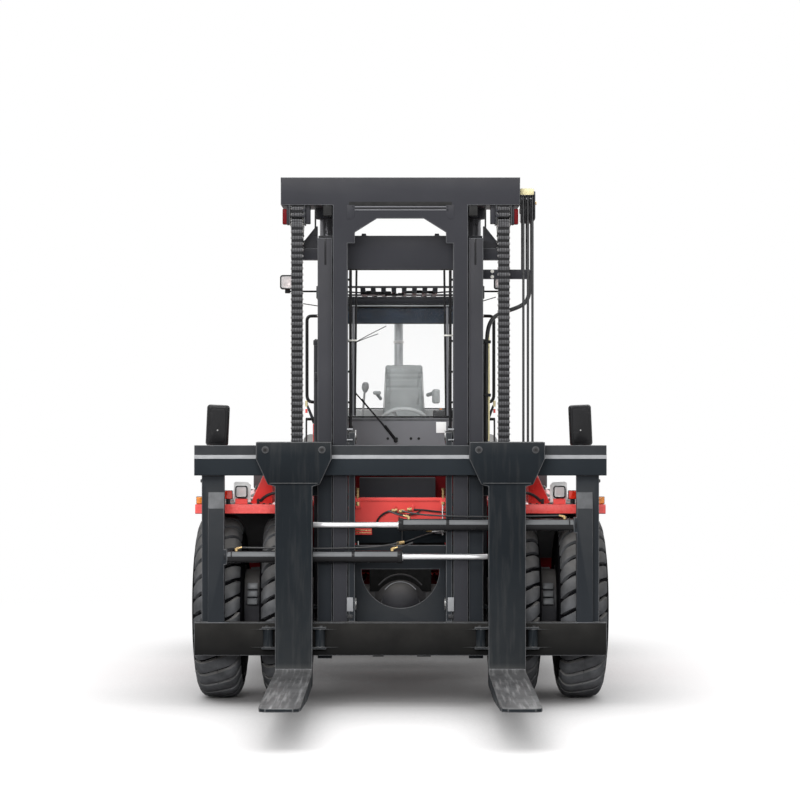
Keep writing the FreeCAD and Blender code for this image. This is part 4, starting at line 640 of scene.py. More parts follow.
class FORKLIFT_OT_metalwork(Maker, bpy.types.Operator):
    """Plate work and castings with rounded edges, painted lighter for slight wear and as a painted highlight.
    """
    bl_idname = "forklift.metalwork"
    bl_label = "Metalwork"

    plates = (
        ("inner_mast", "inner_mast", "mast_paint", "mast_edge", 0.004),
        ("outer_mast", "outer_mast", "mast_paint", "mast_edge", 0.004),
        ("frame_rails", "chassis", "red_paint", "red_edge", 0.003),
        ("chassis_frame", "chassis", "red_paint", "red_edge", 0.003),
        ("side_tanks", "chassis", "red_paint", "red_edge", 0.006),
        ("fenders", "chassis", "red_paint", "red_edge", 0.005),
        ("counterweight", "chassis", "weight_paint", "weight_paint", 0.018),
        ("engine_hood", "engine_hood", "red_paint", "red_edge", 0.012),
        ("cab_roof", "chassis", "cab_dark", "mast_edge", 0.004),
        ("valve_block", "chassis", "cab_dark", "cab_dark", 0.006),
        ("radiator_grille", "chassis", "gloss_black", "gloss_black", 0.002),
    )

    def execute(self, context):
        for node, body, main, edge, width in self.plates:
            bm = cad_copy(node)
            if node == "outer_mast":
                cut(bm, at(0, 0, MAST_SHADE_Z))
            soften(bm, width)
            keys = (main, edge)
            if main == "red_paint":
                keys = (main, edge, "red_painted_light", "red_painted_shade")
                self.shade_fronts(bm, node)
            if main == "mast_paint":
                keys = (main, edge, "carriage_paint_and_shade")
                self.shade_mast(bm, math.inf if node == "outer_mast" else MAST_SHADE_X / MM)
            piece(node + "_finished", bm, body, keys, (node,))
        self.cab()
        self.carriage()
        for name in ("left", "right"):
            self.fork(name)
            bm = cad_copy("door_" + name)
            soften(bm, sizes().edge)
            piece("door_%s_finished" % name, bm, "door_" + name, ("cab_dark", "mast_edge"),
                  ("door_" + name,))
        return {"FINISHED"}

    def shade_mast(self, bm, reach):
        """Painted shade: the carriage's darker paint on the mast behind the carriage, as far as reach from
        the middle.
        """
        for face in bm.faces:
            spot = face.calc_center_median()
            if spot.z < MAST_SHADE_Z / MM and abs(spot.x) < reach and face.material_index == 0:
                face.material_index = 2

    def shade_fronts(self, bm, node):
        """Painted light as a brighter red on the cross bar and wing edges, and painted shade as a deep red on
        the other low fronts and on the undersides.
        """
        for face in bm.faces:
            spot = face.calc_center_median()
            if face.normal.y < -0.7 and spot.z < 1.51:
                wing = node == "fenders" and spot.z > 1.4
                bar = node == "chassis_frame" and abs(spot.x) < 0.38 and spot.y < at(0, -145, 0).y
                face.material_index = 2 if wing or bar else 3
            elif face.normal.z < -0.7:
                face.material_index = 3

    def cab(self):
        """Red below the windscreen, dark above it, with painted shade as a deep red on the fronts under the
        cowl.
        """
        bm = cad_copy("cab_shell")
        low, high = (at(0, 0, z) for z in COWL_Z)
        cut(bm, high)
        cut(bm, low)
        soften(bm, sizes().edge)
        for face in bm.faces:
            spot = face.calc_center_median()
            if face.normal.y < -0.7 and spot.y > at(0, 1500, 0).y:
                face.material_index = 4
            elif spot.z > COWL_Z[1] / MM:
                face.material_index = 2
            elif spot.z < COWL_Z[0] / MM and face.normal.y < -0.7:
                face.material_index = 3
        piece("cab_shell_finished", bm, "chassis", ("red_paint", "red_edge", "cab_dark", "red_painted_shade",
                                                    "cab_lining"), ("cab_shell",))

    def carriage(self):
        """The lower bar is nearly black, the top bar's lower front is painted shade in a darker grey, and the
        rest is mast grey.
        """
        bm = cad_copy("fork_carriage")
        for z in (622, 1681):
            cut(bm, at(0, 0, z))
        soften(bm, sizes().edge)
        for face in bm.faces:
            spot = face.calc_center_median()
            if face.material_index == 0 and spot.y < at(0, -820, 0).y:
                face.material_index = 2 if spot.z < 0.622 else 3 if 1.681 < spot.z < 1.8 else 0
        piece("fork_carriage_finished", bm, "fork_carriage", ("carriage_paint_and_shade", "mast_edge", "bar_paint",
                                                              "bar_shade"), ("fork_carriage",))

    def fork(self, name):
        """Painted shank, and a blade worn bright on top."""
        bm = cad_copy("fork_" + name)
        soften(bm, 0.005)
        for face in bm.faces:
            spot = face.calc_center_median()
            if face.normal.z > 0.6 and spot.z < at(0, 0, 345).z and spot.y < at(0, -945, 0).y:
                face.material_index = 2
        piece("fork_%s_finished" % name, bm, "fork_" + name, ("fork_steel", "fork_edge_wear_and_highlight", "blade_wear"),
              ("fork_" + name,))


class FORKLIFT_OT_tyres(Maker, bpy.types.Operator):
    """Twin front tyres and single rear tyres with slanted lugs."""
    bl_idname = "forklift.tyres"
    bl_label = "Tyres"

    tread = ((0.0, 0.684), (0.075, 0.683), (0.107, 0.677), (0.132, 0.661), (0.151, 0.633), (0.166, 0.598),
             (0.178, 0.556))

    def on_tread(self, reach):
        """Place across and out from the axle, reach metres along the tread from its middle."""
        for (x0, r0), (x1, r1) in zip(self.tread, self.tread[1:]):
            step = math.hypot(x1 - x0, r1 - r0)
            if reach <= step:
                break
            reach -= step
        share = reach / step
        return Vector((x0 + (x1 - x0) * share, r0 + (r1 - r0) * share))

    def surface(self, reach, depth):
        """The same place, depth metres under the lugs' faces."""
        spot = self.on_tread(reach)
        way = self.on_tread(reach + 0.012) - self.on_tread(max(0.0, reach - 0.012))
        inward = Vector((way.y, -way.x)).normalized()
        return spot.x + inward.x * depth, spot.y + inward.y * depth

    def lug(self, phase, half):
        """One slanting lug, bent over the crown and shoulder."""
        part = bmesh.new()
        bmesh.ops.create_cube(part, size=1.0)
        bmesh.ops.bevel(part, geom=[e for e in part.edges if all(v.co.z > 0 for v in e.verts)
                                    or e.verts[0].co.z * e.verts[1].co.z < 0], offset=0.05, segments=1,
                        profile=0.5, affect="EDGES", material=-1)
        for share in (-0.3, -0.1, 0.05, 0.15, 0.25, 0.35, 0.43):
            cut(part, (share, 0, 0), (1, 0, 0))
        depth = sizes().lug_depth
        length = FULL_TURN * TYRE_R / sizes().lugs - sizes().groove
        for vert in part.verts:
            reach = max(0.0, -0.008 + (vert.co.x + 0.5) * 0.238)
            across, out = self.surface(reach, depth * (0.5 - vert.co.z) * 1.15)
            along = vert.co.y * length * (1 - 0.12 * (vert.co.z + 0.5)) - half * 0.42 * reach
            angle = phase + along / TYRE_R
            vert.co = (half * across, out * math.cos(angle), out * math.sin(angle))
        if half < 0:
            bmesh.ops.reverse_faces(part, faces=part.faces)
        bmesh.ops.recalc_face_normals(part, faces=part.faces)
        return part

    def tyre(self, bm, centre, phase):
        """The turned casing with two halves of lugs."""
        depth = sizes().lug_depth
        outline = [self.surface(reach, depth) for reach in (0, 0.07, 0.1, 0.12, 0.14, 0.16, 0.18, 0.2, 0.215)]
        outline = [(out, across) for across, out in outline]
        outline += [(0.540, 0.174), (0.535, 0.179), (0.520, 0.180), (0.515, 0.178), (0.49, 0.184),
                    (0.45, 0.190), (0.40, 0.190), (0.395, 0.191), (0.385, 0.191), (0.38, 0.188),
                    (0.35, 0.182), (0.328, 0.170), (0.307, 0.156), (0.305, 0.12)]
        full = [(r, -x) for r, x in reversed(outline)] + outline[1:]
        turned(bm, full, centre, (1, 0, 0), 0, 96)
        step = FULL_TURN / sizes().lugs
        for half in SIDES:
            for count in range(sizes().lugs):
                part = self.lug(phase + count * step, half)
                settle(bm, part, 1, 0, Matrix.Translation(centre))

    def execute(self, context):
        for name, side in HANDS:
            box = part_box("front_tyres_" + name)
            low, high = sorted((abs(box[0].x), abs(box[1].x)))
            half = (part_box("rear_tyre_" + name)[1].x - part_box("rear_tyre_" + name)[0].x) / 2
            middle = (box[0] + box[1]) / 2
            bm = bmesh.new()
            self.tyre(bm, Vector((side * (high - half), middle.y, middle.z)), 0.03)
            self.tyre(bm, Vector((side * (low + half), middle.y, middle.z)), 0.09)
            piece("front_treads_" + name, bm, "front_wheels_" + name, ("tyre_rubber", "tread_face"),
                  ("front_tyres_" + name,), 40)
            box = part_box("rear_tyre_" + name)
            bm = bmesh.new()
            self.tyre(bm, (box[0] + box[1]) / 2, 0.05)
            piece("rear_tread_" + name, bm, "rear_wheel_" + name, ("tyre_rubber", "tread_face"),
                  ("rear_tyre_" + name,), 40)
        return {"FINISHED"}


class FORKLIFT_OT_rims(Maker, bpy.types.Operator):
    """Rim flanges, lock rings, wheel nuts, hub bolts and valves on the rims."""
    bl_idname = "forklift.rims"
    bl_label = "Rims"

    def flange(self, bm, centre, way):
        """A rolled flange and lock ring in the tyre's bead."""
        turned(bm, [(0.272, -0.02), (0.272, 0.0), (0.300, 0.012), (0.330, 0.016), (0.336, 0.010),
                    (0.334, 0.002), (0.306, -0.004), (0.300, -0.02)], centre, way, 0, 64)
        turned(bm, [(0.284, 0.006), (0.290, 0.013), (0.296, 0.013), (0.300, 0.006)],
               centre + Vector(way) * 0.006, way, 1, 64)

    def ring_of(self, bm, centre, way, radius, count, size):
        """A circle of wheel nuts or bolts."""
        for c, s in circle(count):
            bolt(bm, centre + Vector((0, radius * c, radius * s)), way, size, 2, 1.1)

    def band(self, bm, side):
        """Painted shade as dark axle paint on the band between the twin wheels, with three sets of clamp
        blocks in a painted highlight grey.
        """
        middle = side * (OUTER_WHEEL + INNER_WHEEL) / 2
        for face in bm.faces:
            if abs(face.calc_center_median().x - middle / MM) < 0.12:
                face.material_index = 3
        hub = at(0, 0, AXLE_Z)
        for turn in range(3):
            spin = Matrix.Rotation(math.radians(-24 + 120 * turn), 4, "X")
            place = Matrix.Translation(hub) @ spin @ Matrix.Translation(-hub)
            for z in (629, 689, 749):
                slab(bm, middle - 38, middle + 38, -324, -298, z - 52, z - 4, 4, 4, place)

    def execute(self, context):
        for name, side in HANDS:
            way = (side, 0, 0)
            bm = cad_copy("front_rims_" + name)
            soften(bm, 0.003)
            self.band(bm, side)
            self.flange(bm, at(side * (OUTER_WHEEL + 163), 0, AXLE_Z), way)
            self.flange(bm, at(side * (INNER_WHEEL - 163), 0, AXLE_Z), (-side, 0, 0))
            self.ring_of(bm, at(side * (OUTER_WHEEL - 120), 0, AXLE_Z), way, 0.222, 10, 0.019)
            self.ring_of(bm, at(side * (TYRE_EDGE - 60), 0, AXLE_Z), way, 0.155, 12, 0.010)
            self.ring_of(bm, at(side * (TYRE_EDGE - 35), 0, AXLE_Z), way, 0.100, 6, 0.011)
            rod(bm, at(side * (OUTER_WHEEL - 119), 205, 850), at(side * (OUTER_WHEEL - 20), 222, 866), 0.006,
                2, sides=10)
            piece("front_wheels_trim_" + name, bm, "front_wheels_" + name,
                  ("rim_paint", "rim_paint", "zinc", "axle_paint", "grey_painted_highlight"),
                  ("front_rims_" + name,))
            bm = cad_copy("rear_rim_" + name)
            soften(bm, 0.003)
            self.flange(bm, at(side * 1343, REAR_AXLE_Y, AXLE_Z), way)
            self.flange(bm, at(side * 1017, REAR_AXLE_Y, AXLE_Z), (-side, 0, 0))
            self.ring_of(bm, at(side * 1260, REAR_AXLE_Y, AXLE_Z), way, 0.195, 10, 0.019)
            self.ring_of(bm, at(side * 1330, REAR_AXLE_Y, AXLE_Z), way, 0.098, 8, 0.009)
            rod(bm, at(side * 1261, 4160, 850), at(side * 1325, 4172, 862), 0.006, 2, sides=10)
            piece("rear_wheel_trim_" + name, bm, "rear_wheel_" + name, ("rim_paint", "rim_paint", "zinc"),
                  ("rear_rim_" + name,))
        return {"FINISHED"}


class FORKLIFT_OT_chains(Maker, bpy.types.Operator):
    """Leaf chains and mast hoses: front runs that ride on the carriage, rear tails on no body, and a wrap
    over the sheaves.
    """
    bl_idname = "forklift.chains"
    bl_label = "Chains and mast hoses"

    def link(self, bm, spot, turn):
        """One pitch of chain: a pack of leaf ends on a pin, over a black block that paints the shade in the
        gap between packs.
        """
        pitch = sizes().chain_pitch
        place = Matrix.Translation(spot) @ Matrix.Rotation(turn, 4, "X")
        for offset in (n * 0.0119 for n in range(-3, 4)):
            leaf = cube((0.0075, 0.040, 0.029), (offset, 0, 0))
            round_off(leaf, 0, 0.011, 2)
            settle(bm, leaf, 0, 0, place)
        settle(bm, cube((0.082, 0.026, pitch), (0, 0, pitch / 2)), 2, 0.001, place, 1)
        pin = Matrix.Rotation(turn, 3, "X") @ Vector((0.0455, 0, 0))
        rod(bm, spot - pin, spot + pin, 0.0085, 1, sides=8)

    def strand(self, bm, x, y, low, high):
        """An upright run of links."""
        pitch = sizes().chain_pitch
        count = round((high - low) / MM / pitch)
        for step in range(count):
            self.link(bm, at(x, y, low) + Vector((0, 0, step * pitch)), 0)

    def execute(self, context):
        bm = bmesh.new()
        for side in SIDES:
            self.strand(bm, side * CHAIN_X, CHAIN_Y, CHAIN_LOW_Z, 3520)
            pin(bm, at(side * CHAIN_X, CHAIN_Y, 1745), (0, 0, 61), 0.021, 1, sides=12)
        fronts = piece("leaf_chains_front", bm, "fork_carriage", ("chain_steel", "chain_pin", "gloss_black"),
                       ("lift_chains",))
        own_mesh(fronts)
        bm = bmesh.new()
        for x in MAST_HOSES:
            pin(bm, at(x, -699, 1800), (0, 0, 1900), 0.009, 0, sides=16)
        hoses = piece("mast_hoses_front", bm, "fork_carriage", ("hose_rubber",),
                      ("lift_chains",))
        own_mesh(hoses)
        bm = bmesh.new()
        for side in SIDES:
            self.strand(bm, side * CHAIN_X, TAIL_Y, 3338, 3505)
        backs = piece("leaf_chains_rear", bm, None, ("chain_steel", "chain_pin", "gloss_black"),
                      ("chain_tails",))
        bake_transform(backs)
        bm = bmesh.new()
        for x in MAST_HOSES:
            for step in range(14):
                z = 3180 + step * 30
                pin(bm, at(x, -501, z), (0, 0, 30.5), 0.009, 0, sides=14)
        bmesh.ops.remove_doubles(bm, verts=bm.verts, dist=0.001)
        tails = piece("mast_hoses_rear", bm, None, ("hose_rubber",), ("chain_tails",))
        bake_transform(tails)
        bm = bmesh.new()
        for side in SIDES:
            self.strand(bm, side * CHAIN_X, CHAIN_Y, 3525, 3655)
            for step in range(8):
                angle = math.pi * step / 8 * 0.96
                round_sheave = Vector((0, -math.cos(angle), math.sin(angle))) * 0.1
                self.link(bm, at(side * CHAIN_X, SHEAVE_Y, SHEAVE_Z) + round_sheave, -angle)
        piece("leaf_chains_wrap", bm, "inner_mast", ("chain_steel", "chain_pin", "gloss_black"))
        return {"FINISHED"}


class FORKLIFT_OT_hoses(Maker, bpy.types.Operator):
    """Hydraulic hoses, pipes and brass fittings that are clipped to the machine."""
    bl_idname = "forklift.hoses"
    bl_label = "Hoses and fittings"

    def fitting(self, bm, spot, way, radius, mat):
        """Hexagon nut with a turned collar."""
        way = Vector(way).normalized()
        rod(bm, spot, spot + way * radius * 2.2, radius, mat, sides=6)
        rod(bm, spot + way * radius * 2.2, spot + way * radius * 4.2, radius * 0.72, mat, sides=12)

    def execute(self, context):
        self.positioner()
        self.cross_member()
        self.mast_side()
        self.mast_middle()
        return {"FINISHED"}

    def positioner(self):
        """Feed hoses above the barrels, with fittings at the barrels' outer ends."""
        bm = bmesh.new()
        for side, z in BARREL_Z.items():
            half = Half(bm, side)
            for end in (1185, 60):
                half.pin((end, BARREL_Y, z + 38), (0, 0, 24), 0.013, 1, sides=12)
                self.fitting(bm, at(side * end, BARREL_Y, z + 58), (-side, 0, 0.25), 0.010, 1)
            half.hose([(1150, -790, z + 66), (1000, -792, z + 64), (700, -786, z + 56), (400, -792, z + 62),
                       (150, -788, z + 70), (60, -780, z + 88), (10, -765, z + 100)], 0.0065, 0)
            half.hose([(30, -790, z + 62), (-30, -786, z + 74), (-60, -770, z + 92), (-90, -760, z + 100)],
                      0.0065, 0)
            for x in (1262, 1215):
                half.pin((x, BARREL_Y, z), (8, 0, 0), 0.050, 2, sides=28)
            half.pin((-14, BARREL_Y, z), (36, 0, 0), 0.0475, 2, sides=28, bevel=0.003)
            half.pin((-20, BARREL_Y, z), (7, 0, 0), 0.030, 3, sides=24)
            for x in (330, 760):
                half.pin((x, BARREL_Y, z), (22, 0, 0), 0.0455, 2, sides=28)
        piece("positioner_hoses", bm, "fork_carriage", ("hose_rubber", "brass", "gloss_black", "zinc"))

    def cross_member(self):
        """Fittings, pipes and clamps on the red cross-member between the rails."""
        bm = bmesh.new()
        for x in (-318, 318):
            pin(bm, at(x, -196, 1490), (0, 0, 76), 0.011, 1, sides=14)
            pin(bm, at(x, -196, 1556), (0, 0, 14), 0.015, 1, sides=6)
            # Red blocks in the brighter red: painted light.
            slab(bm, x - 24, x + 24, -222, -206, 1418, 1492, 3, 3)
            slab(bm, x - 12, x + 12, -228, -220, 1440, 1470, 1, 2)
        for x, z in ((-45, 1405), (8, 1398), (70, 1412)):
            self.fitting(bm, at(x, -192, z), (0, -1, 0.1), 0.014, 1)
            rod(bm, at(x - 20, -235, z), at(x + 22, -235, z + 4), 0.013, 1, sides=10)
        slab(bm, -52, -38, -250, -228, 1400, 1440, 3, 2)
        slab(bm, 84, 100, -250, -228, 1406, 1446, 3, 2)
        hose(bm, [(-60, -236, 1404), (-100, -240, 1398), (-140, -232, 1372), (-170, -220, 1340),
                  (-180, -205, 1300), (-182, -196, 1260)], 0.008, 0)
        hose(bm, [(95, -238, 1412), (150, -246, 1414), (240, -240, 1400), (330, -236, 1392),
                  (420, -250, 1392), (470, -300, 1380)], 0.007, 0)
        hose(bm, [(-40, -238, 1398), (-20, -252, 1375), (60, -250, 1368), (120, -244, 1380),
                  (150, -236, 1404)], 0.006, 0)
        # A dark guard plate and black sheets behind the cross bar: painted shade.
        slab(bm, -372, 372, -205, -198, 1165, 1314, 5, 1)
        slab(bm, -372, 372, -150, -144, 1130, 1270, 4, 1)
        slab(bm, -230, 230, -150, -142, 800, 1165, 4, 1)
        # This red block takes the brighter red too: painted light.
        slab(bm, -350, -212, -222, -206, 1224, 1272, 3, 3)
        for z in (1236, 1254):
            slab(bm, -346, -216, -225, -221, z, z + 7, 1, 1)
        pin(bm, at(-365, -270, 1139), (303, 0, 0), 0.0045, 2, sides=10)
        rod(bm, at(235, -222, 1250), at(320, -222, 1244), 0.014, 2, sides=12)
        rod(bm, at(190, -222, 1256), at(240, -222, 1252), 0.008, 1, sides=12)
        for x, z0, z1 in ((312, 1222, 1450), (-312, 1040, 1180)):
            slab(bm, x - 4, x + 4, -262, -256, z0, z1, 2, 1)
        rod(bm, at(-30, -262, 1160), at(30, -262, 1172), 0.014, 1, sides=10)
        rod(bm, at(-24, -262, 1162), at(-30, -262, 1120), 0.010, 1, sides=10)
        hose(bm, [(30, -262, 1172), (110, -268, 1200), (220, -262, 1240), (300, -258, 1252),
                  (380, -262, 1240), (470, -300, 1205)], 0.006, 0)
        hose(bm, [(-30, -262, 1128), (-120, -270, 1122), (-240, -262, 1138), (-330, -256, 1150),
                  (-420, -280, 1140)], 0.006, 0)
        hose(bm, [(10, -262, 1180), (20, -250, 1240), (0, -240, 1300), (-10, -236, 1360)], 0.005, 0)
        piece("cross_member_fittings", bm, "chassis", ("hose_rubber", "brass", "white_plate", "red_painted_light",
                                                       "black_and_painted_shade", "bar_shade"))

    def mast_side(self):
        """The bundle from the mast's arm with its pale sleeve, and the hose pulley's guard."""
        bm = bmesh.new()
        route = ((952, 3150), (950, 3050), (942, 2975), (900, 2915), (790, 2880), (690, 2845), (642, 2775),
                 (630, 2650), (628, 2300), (628, 1720))
        for y in (BUNDLE_Y - 14, BUNDLE_Y + 14):
            hose(bm, [(x, y, z) for x, z in route], 0.015, 0, 4)
        hose(bm, [(646, -527, 2720), (650, -527, 2500), (649, -527, 2200), (647, -527, 1925)], 0.0065, 1)
        for z in (2640, 2250, 1850):
            slab(bm, 601, 662, -545, -478, z, z + 22, 2, 2)
        for z in (3166, 3126):
            bolt(bm, at(672, -530, z), (0, -1, 0), 0.010, 3)
        piece("hose_run", bm, "outer_mast", ("hose_rubber", "cream", "gloss_black", "pale_zinc"),
              ("hose_bundle",))
        bm = bmesh.new()
        for x in (877, 909, 941, 972):
            slab(bm, x - 3, x + 3, -716, -480, 3530, 3706, 0, 1.5)
        slab(bm, 874, 975, -716, -480, 3702, 3712, 0, 2)
        slab(bm, 868, 972, -655, -560, 3712, 3764, 1, 12)
        pin(bm, at(975, -600, 3660), (17, 0, 0), 0.012, 2, sides=12)
        piece("hose_pulley_guard", bm, "inner_mast", ("gloss_black", "cream", "brass"))

    def mast_middle(self):
        """Thin pipes inside the rails and the hoses behind the beam."""
        bm = bmesh.new()
        for side in SIDES:
            half = Half(bm, side)
            half.pin((366, -470, 1180), (0, 0, 1996), 0.011, 0, sides=12)
            half.rod((347, -474, 2110), (344, -474, 2905), 0.009, 2, sides=12)
            half.rod((334, -470, 2110), (322, -470, 3176), 0.008, 0, sides=12)
            # Dark strips on the outer rails' fronts: painted shade.
            half.slab(537, 551, -702, -698, 3205, 3396, 0, 1)
            for z in range(1300, 3150, 225):
                half.slab(360, 384, -484, -458, z, z + 16, 0, 1)
            slab(bm, side * 318, side * 384, -500, -490, 2674 + side * 18, 2686 + side * 18, 1, 1)
        piece("mast_pipes", bm, "outer_mast", ("gloss_black", "pale_zinc", "cowl_grey"))


class FORKLIFT_OT_mast_trim(Maker, bpy.types.Operator):
    """Bolts, blocks, glands and pads on the mast, carriage and forks."""
    bl_idname = "forklift.mast_trim"
    bl_label = "Mast and fork trim"

    def execute(self, context):
        self.inner()
        self.outer()
        self.carriage()
        for name, side in HANDS:
            bm = bmesh.new()
            for x in (-203, 203):
                pin(bm, at(side * FORK_X + x, -961, 1868), (0, -5, 0), 0.026, 1, sides=28)
                pin(bm, at(side * FORK_X + x, -962, 1868), (0, -12, 0), 0.019, 0, sides=20, bevel=0.002)
                # The dark disc in each pin's centre is painted shade for its hole.
                pin(bm, at(side * FORK_X + x, -973, 1868), (0, -2.5, 0), 0.010, 2, sides=6)
            # A lighter strip along the hanger's lower edge: painted highlight.
            slab(bm, side * FORK_X - 172, side * FORK_X + 172, -962, -959.5, 1626, 1631, 1, 0.6)
            for x in (-195, 195):
                pin(bm, at(side * FORK_X + x, -870, 432), (0, 0, 168), 0.013, 1, sides=12)
            piece("fork_trim_" + name, bm, "fork_" + name, ("bolt_black", "fork_edge_wear_and_highlight", "black_and_painted_shade"))
        return {"FINISHED"}

    def inner(self):
        """Crosshead strip, sheave cheeks, ram caps and rail bolts."""
        bm = bmesh.new()
        slab(bm, -372, 372, -738, -734, 3636, 3660, 2, 0.5)
        for z in (3598, 3621):
            slab(bm, -350, 350, -738, -734, z, z + 7, 1, 0.5)
            slab(bm, -356, 356, -737, -734, z + 7, z + 15, 2, 0.5)
        for side in SIDES:
            half = Half(bm, side)
            corner = ((388, 3637), (330, 3637), (330, 3560), (350, 3535), (388, 3535))
            plate(bm, [at(side * x, -738, z) for x, z in corner], Vector((0, 0.006, 0)), 0, 1.5)
            half.slab(496, 560, -733, -640, 3560, 3637, 2, 6)
            half.slab(612, 622, -728, -640, 3420, 3637, 2, 2)
            half.slab(655, 689, -690, -560, 3508, 3637, 0, 5)
            # A deep red block here: painted shade.
            half.slab(824, 856, -690, -600, 3502, 3612, 3, 5)
            half.slab(812, 826, -700, -560, 3500, 3640, 0, 3)
            for z in (3560, 3600):
                half.bolt((700, -722, z), (0, -1, 0), 0.009, 0)
            half.pin((RAM_X, RAM_Y, 3560), (0, 0, 77), 0.085, 0, sides=32, bevel=0.006)
            half.slab(470, 610, -400, -260, 3620, 3637, 0, 2)
            for z in range(900, 3500, 260):
                half.pin((388.5, -520, z), (2, 0, 0), 0.010, 0, sides=10)
            end = ((-735, 3837), (-735, 3800), (-720, 3790), (-260, 3790), (-240, 3837))
            plate(bm, [at(side * 867, y, z) for y, z in end], Vector((-side * 0.004, 0, 0)), 0, 0.5)
        piece("mast_head_trim", bm, "inner_mast", ("mast_paint", "cowl_grey", "black_and_painted_shade", "red_painted_shade"))

    def outer(self):
        """Ram glands, straps, pivot caps and the feed pipe at each ram's foot."""
        bm = bmesh.new()
        for side in SIDES:
            half = Half(bm, side)
            half.pin((268, -458, 3419), (0, 0, 11), 0.030, 0, sides=20)
            half.bolt((268, -458, 3428), (0, 0, 1), 0.020, 0)
            half.slab(300, 384, -489, -484, 3176, 3186, 2, 1)
            half.pin((RAM_X, RAM_Y, 2630), (0, 0, 38), 0.104, 0, sides=40, bevel=0.005)
            half.pin((RAM_X, RAM_Y, 2664), (0, 0, 18), 0.070, 3, sides=32, bevel=0.003)
            for c, s in circle(8, 0.2):
                bolt(bm, at(side * RAM_X, RAM_Y, 2668) + Vector((c, s, 0)) * 0.087, (0, 0, 1), 0.008, 0)
            for z in (2372, 2428):
                half.slab(452, 628, -236, -226, z - 8, z + 8, 0, 2)
            half.pin((636, -300, 560), (4, 0, 0), 0.070, 0, sides=32)
            for c, s in circle(4, 0.6):
                bolt(bm, at(side * 640, -300, 560) + Vector((0, c, s)) * 0.05, (side, 0, 0), 0.008, 0)
            half.bolt((744, -500, 1600), (1, 0, 0), 0.018, 0)
            half.rod((RAM_X, RAM_Y, 775), (540, -222, 775), 0.020, 0, sides=12)
            half.hose([(540, -225, 775), (538, -212, 790), (500, -212, 825), (420, -213, 860),
                       (340, -218, 880)], 0.012, 4)
        slab(bm, -601, 601, -490, -487, 3176, 3183, 2, 0.5)
        piece("mast_trim", bm, "outer_mast", ("mast_paint", "mast_edge", "black_and_painted_shade", "gloss_black",
                                              "hose_rubber"))

    def carriage(self):
        """Painted highlights along the bars' edges, on the posts and on the rollers, with chain anchors and
        bolts.
        """
        bm = bmesh.new()
        # Light strip along the top bar's lower edge: painted highlight.
        plate(bm, [at(-1486, -824, 1827.5), at(-1486, -836, 1801), at(1486, -836, 1801),
                   at(1486, -824, 1827.5)], Vector((0, -0.0012, 0.0005)), 4, 0)
        for side in SIDES:
            half = Half(bm, side)
            # A lighter patch on each post: painted highlight.
            plate(bm, [at(side * 1271, -836, 1442), at(side * 1386, -836, 1442), at(side * 1386, -791, 1558),
                       at(side * 1271, -791, 1558)], Vector((0, -0.001, 0.0004)), 1, 0)
            # Light lines along the lower bar's top: painted highlight.
            half.slab(1240, 1400, -838, -834, 618, 624, 1, 1)
            for z in (740, 1960):
                half.pin((322, -615, z), (9, 0, 0), 0.046, 3, sides=28, bevel=0.003)
                half.pin((318, -615, z), (5, 0, 0), 0.026, 0, sides=6)
            # Rollers in the light grey: painted highlight.
            half.slab(342, 388, -752, -742, 694, 796, 4, 4)
            half.slab(344, 384, -752, -742, 640, 672, 0, 4)
            half.slab(344, 388, -750, -742, 2006, 2020, 4, 3)
            half.slab(344, 388, -750, -742, 1932, 1942, 4, 3)
            for z in (1765, 1720):
                half.pin((CHAIN_X, CHAIN_Y, z), (0, 0, 24), 0.026, 0, sides=6)
            for z in (640, 700, 1640):
                half.bolt((1434, -770, z), (1, 0, 0), 0.012, 0)
            for x in (1300, 1360):
                half.bolt((x, -746, 560), (0, 1, 0), 0.014, 0)
            pin(bm, at(side * 1262, BARREL_Y, BARREL_Z[side]), (side * 38, 0, 0), 0.024, 3, sides=20)
        slab(bm, -1486, 1486, -837, -834, 616, 621, 1, 1)
        # Black blocks under the lower bar: painted shade.
        slab(bm, -200, -120, -800, -760, 383, 372, 2, 2)
        slab(bm, 120, 220, -800, -760, 383, 372, 2, 2)
        piece("carriage_trim", bm, "fork_carriage", ("bolt_black", "mast_edge", "black_and_painted_shade", "zinc",
                                                     "edge_painted_highlight"))


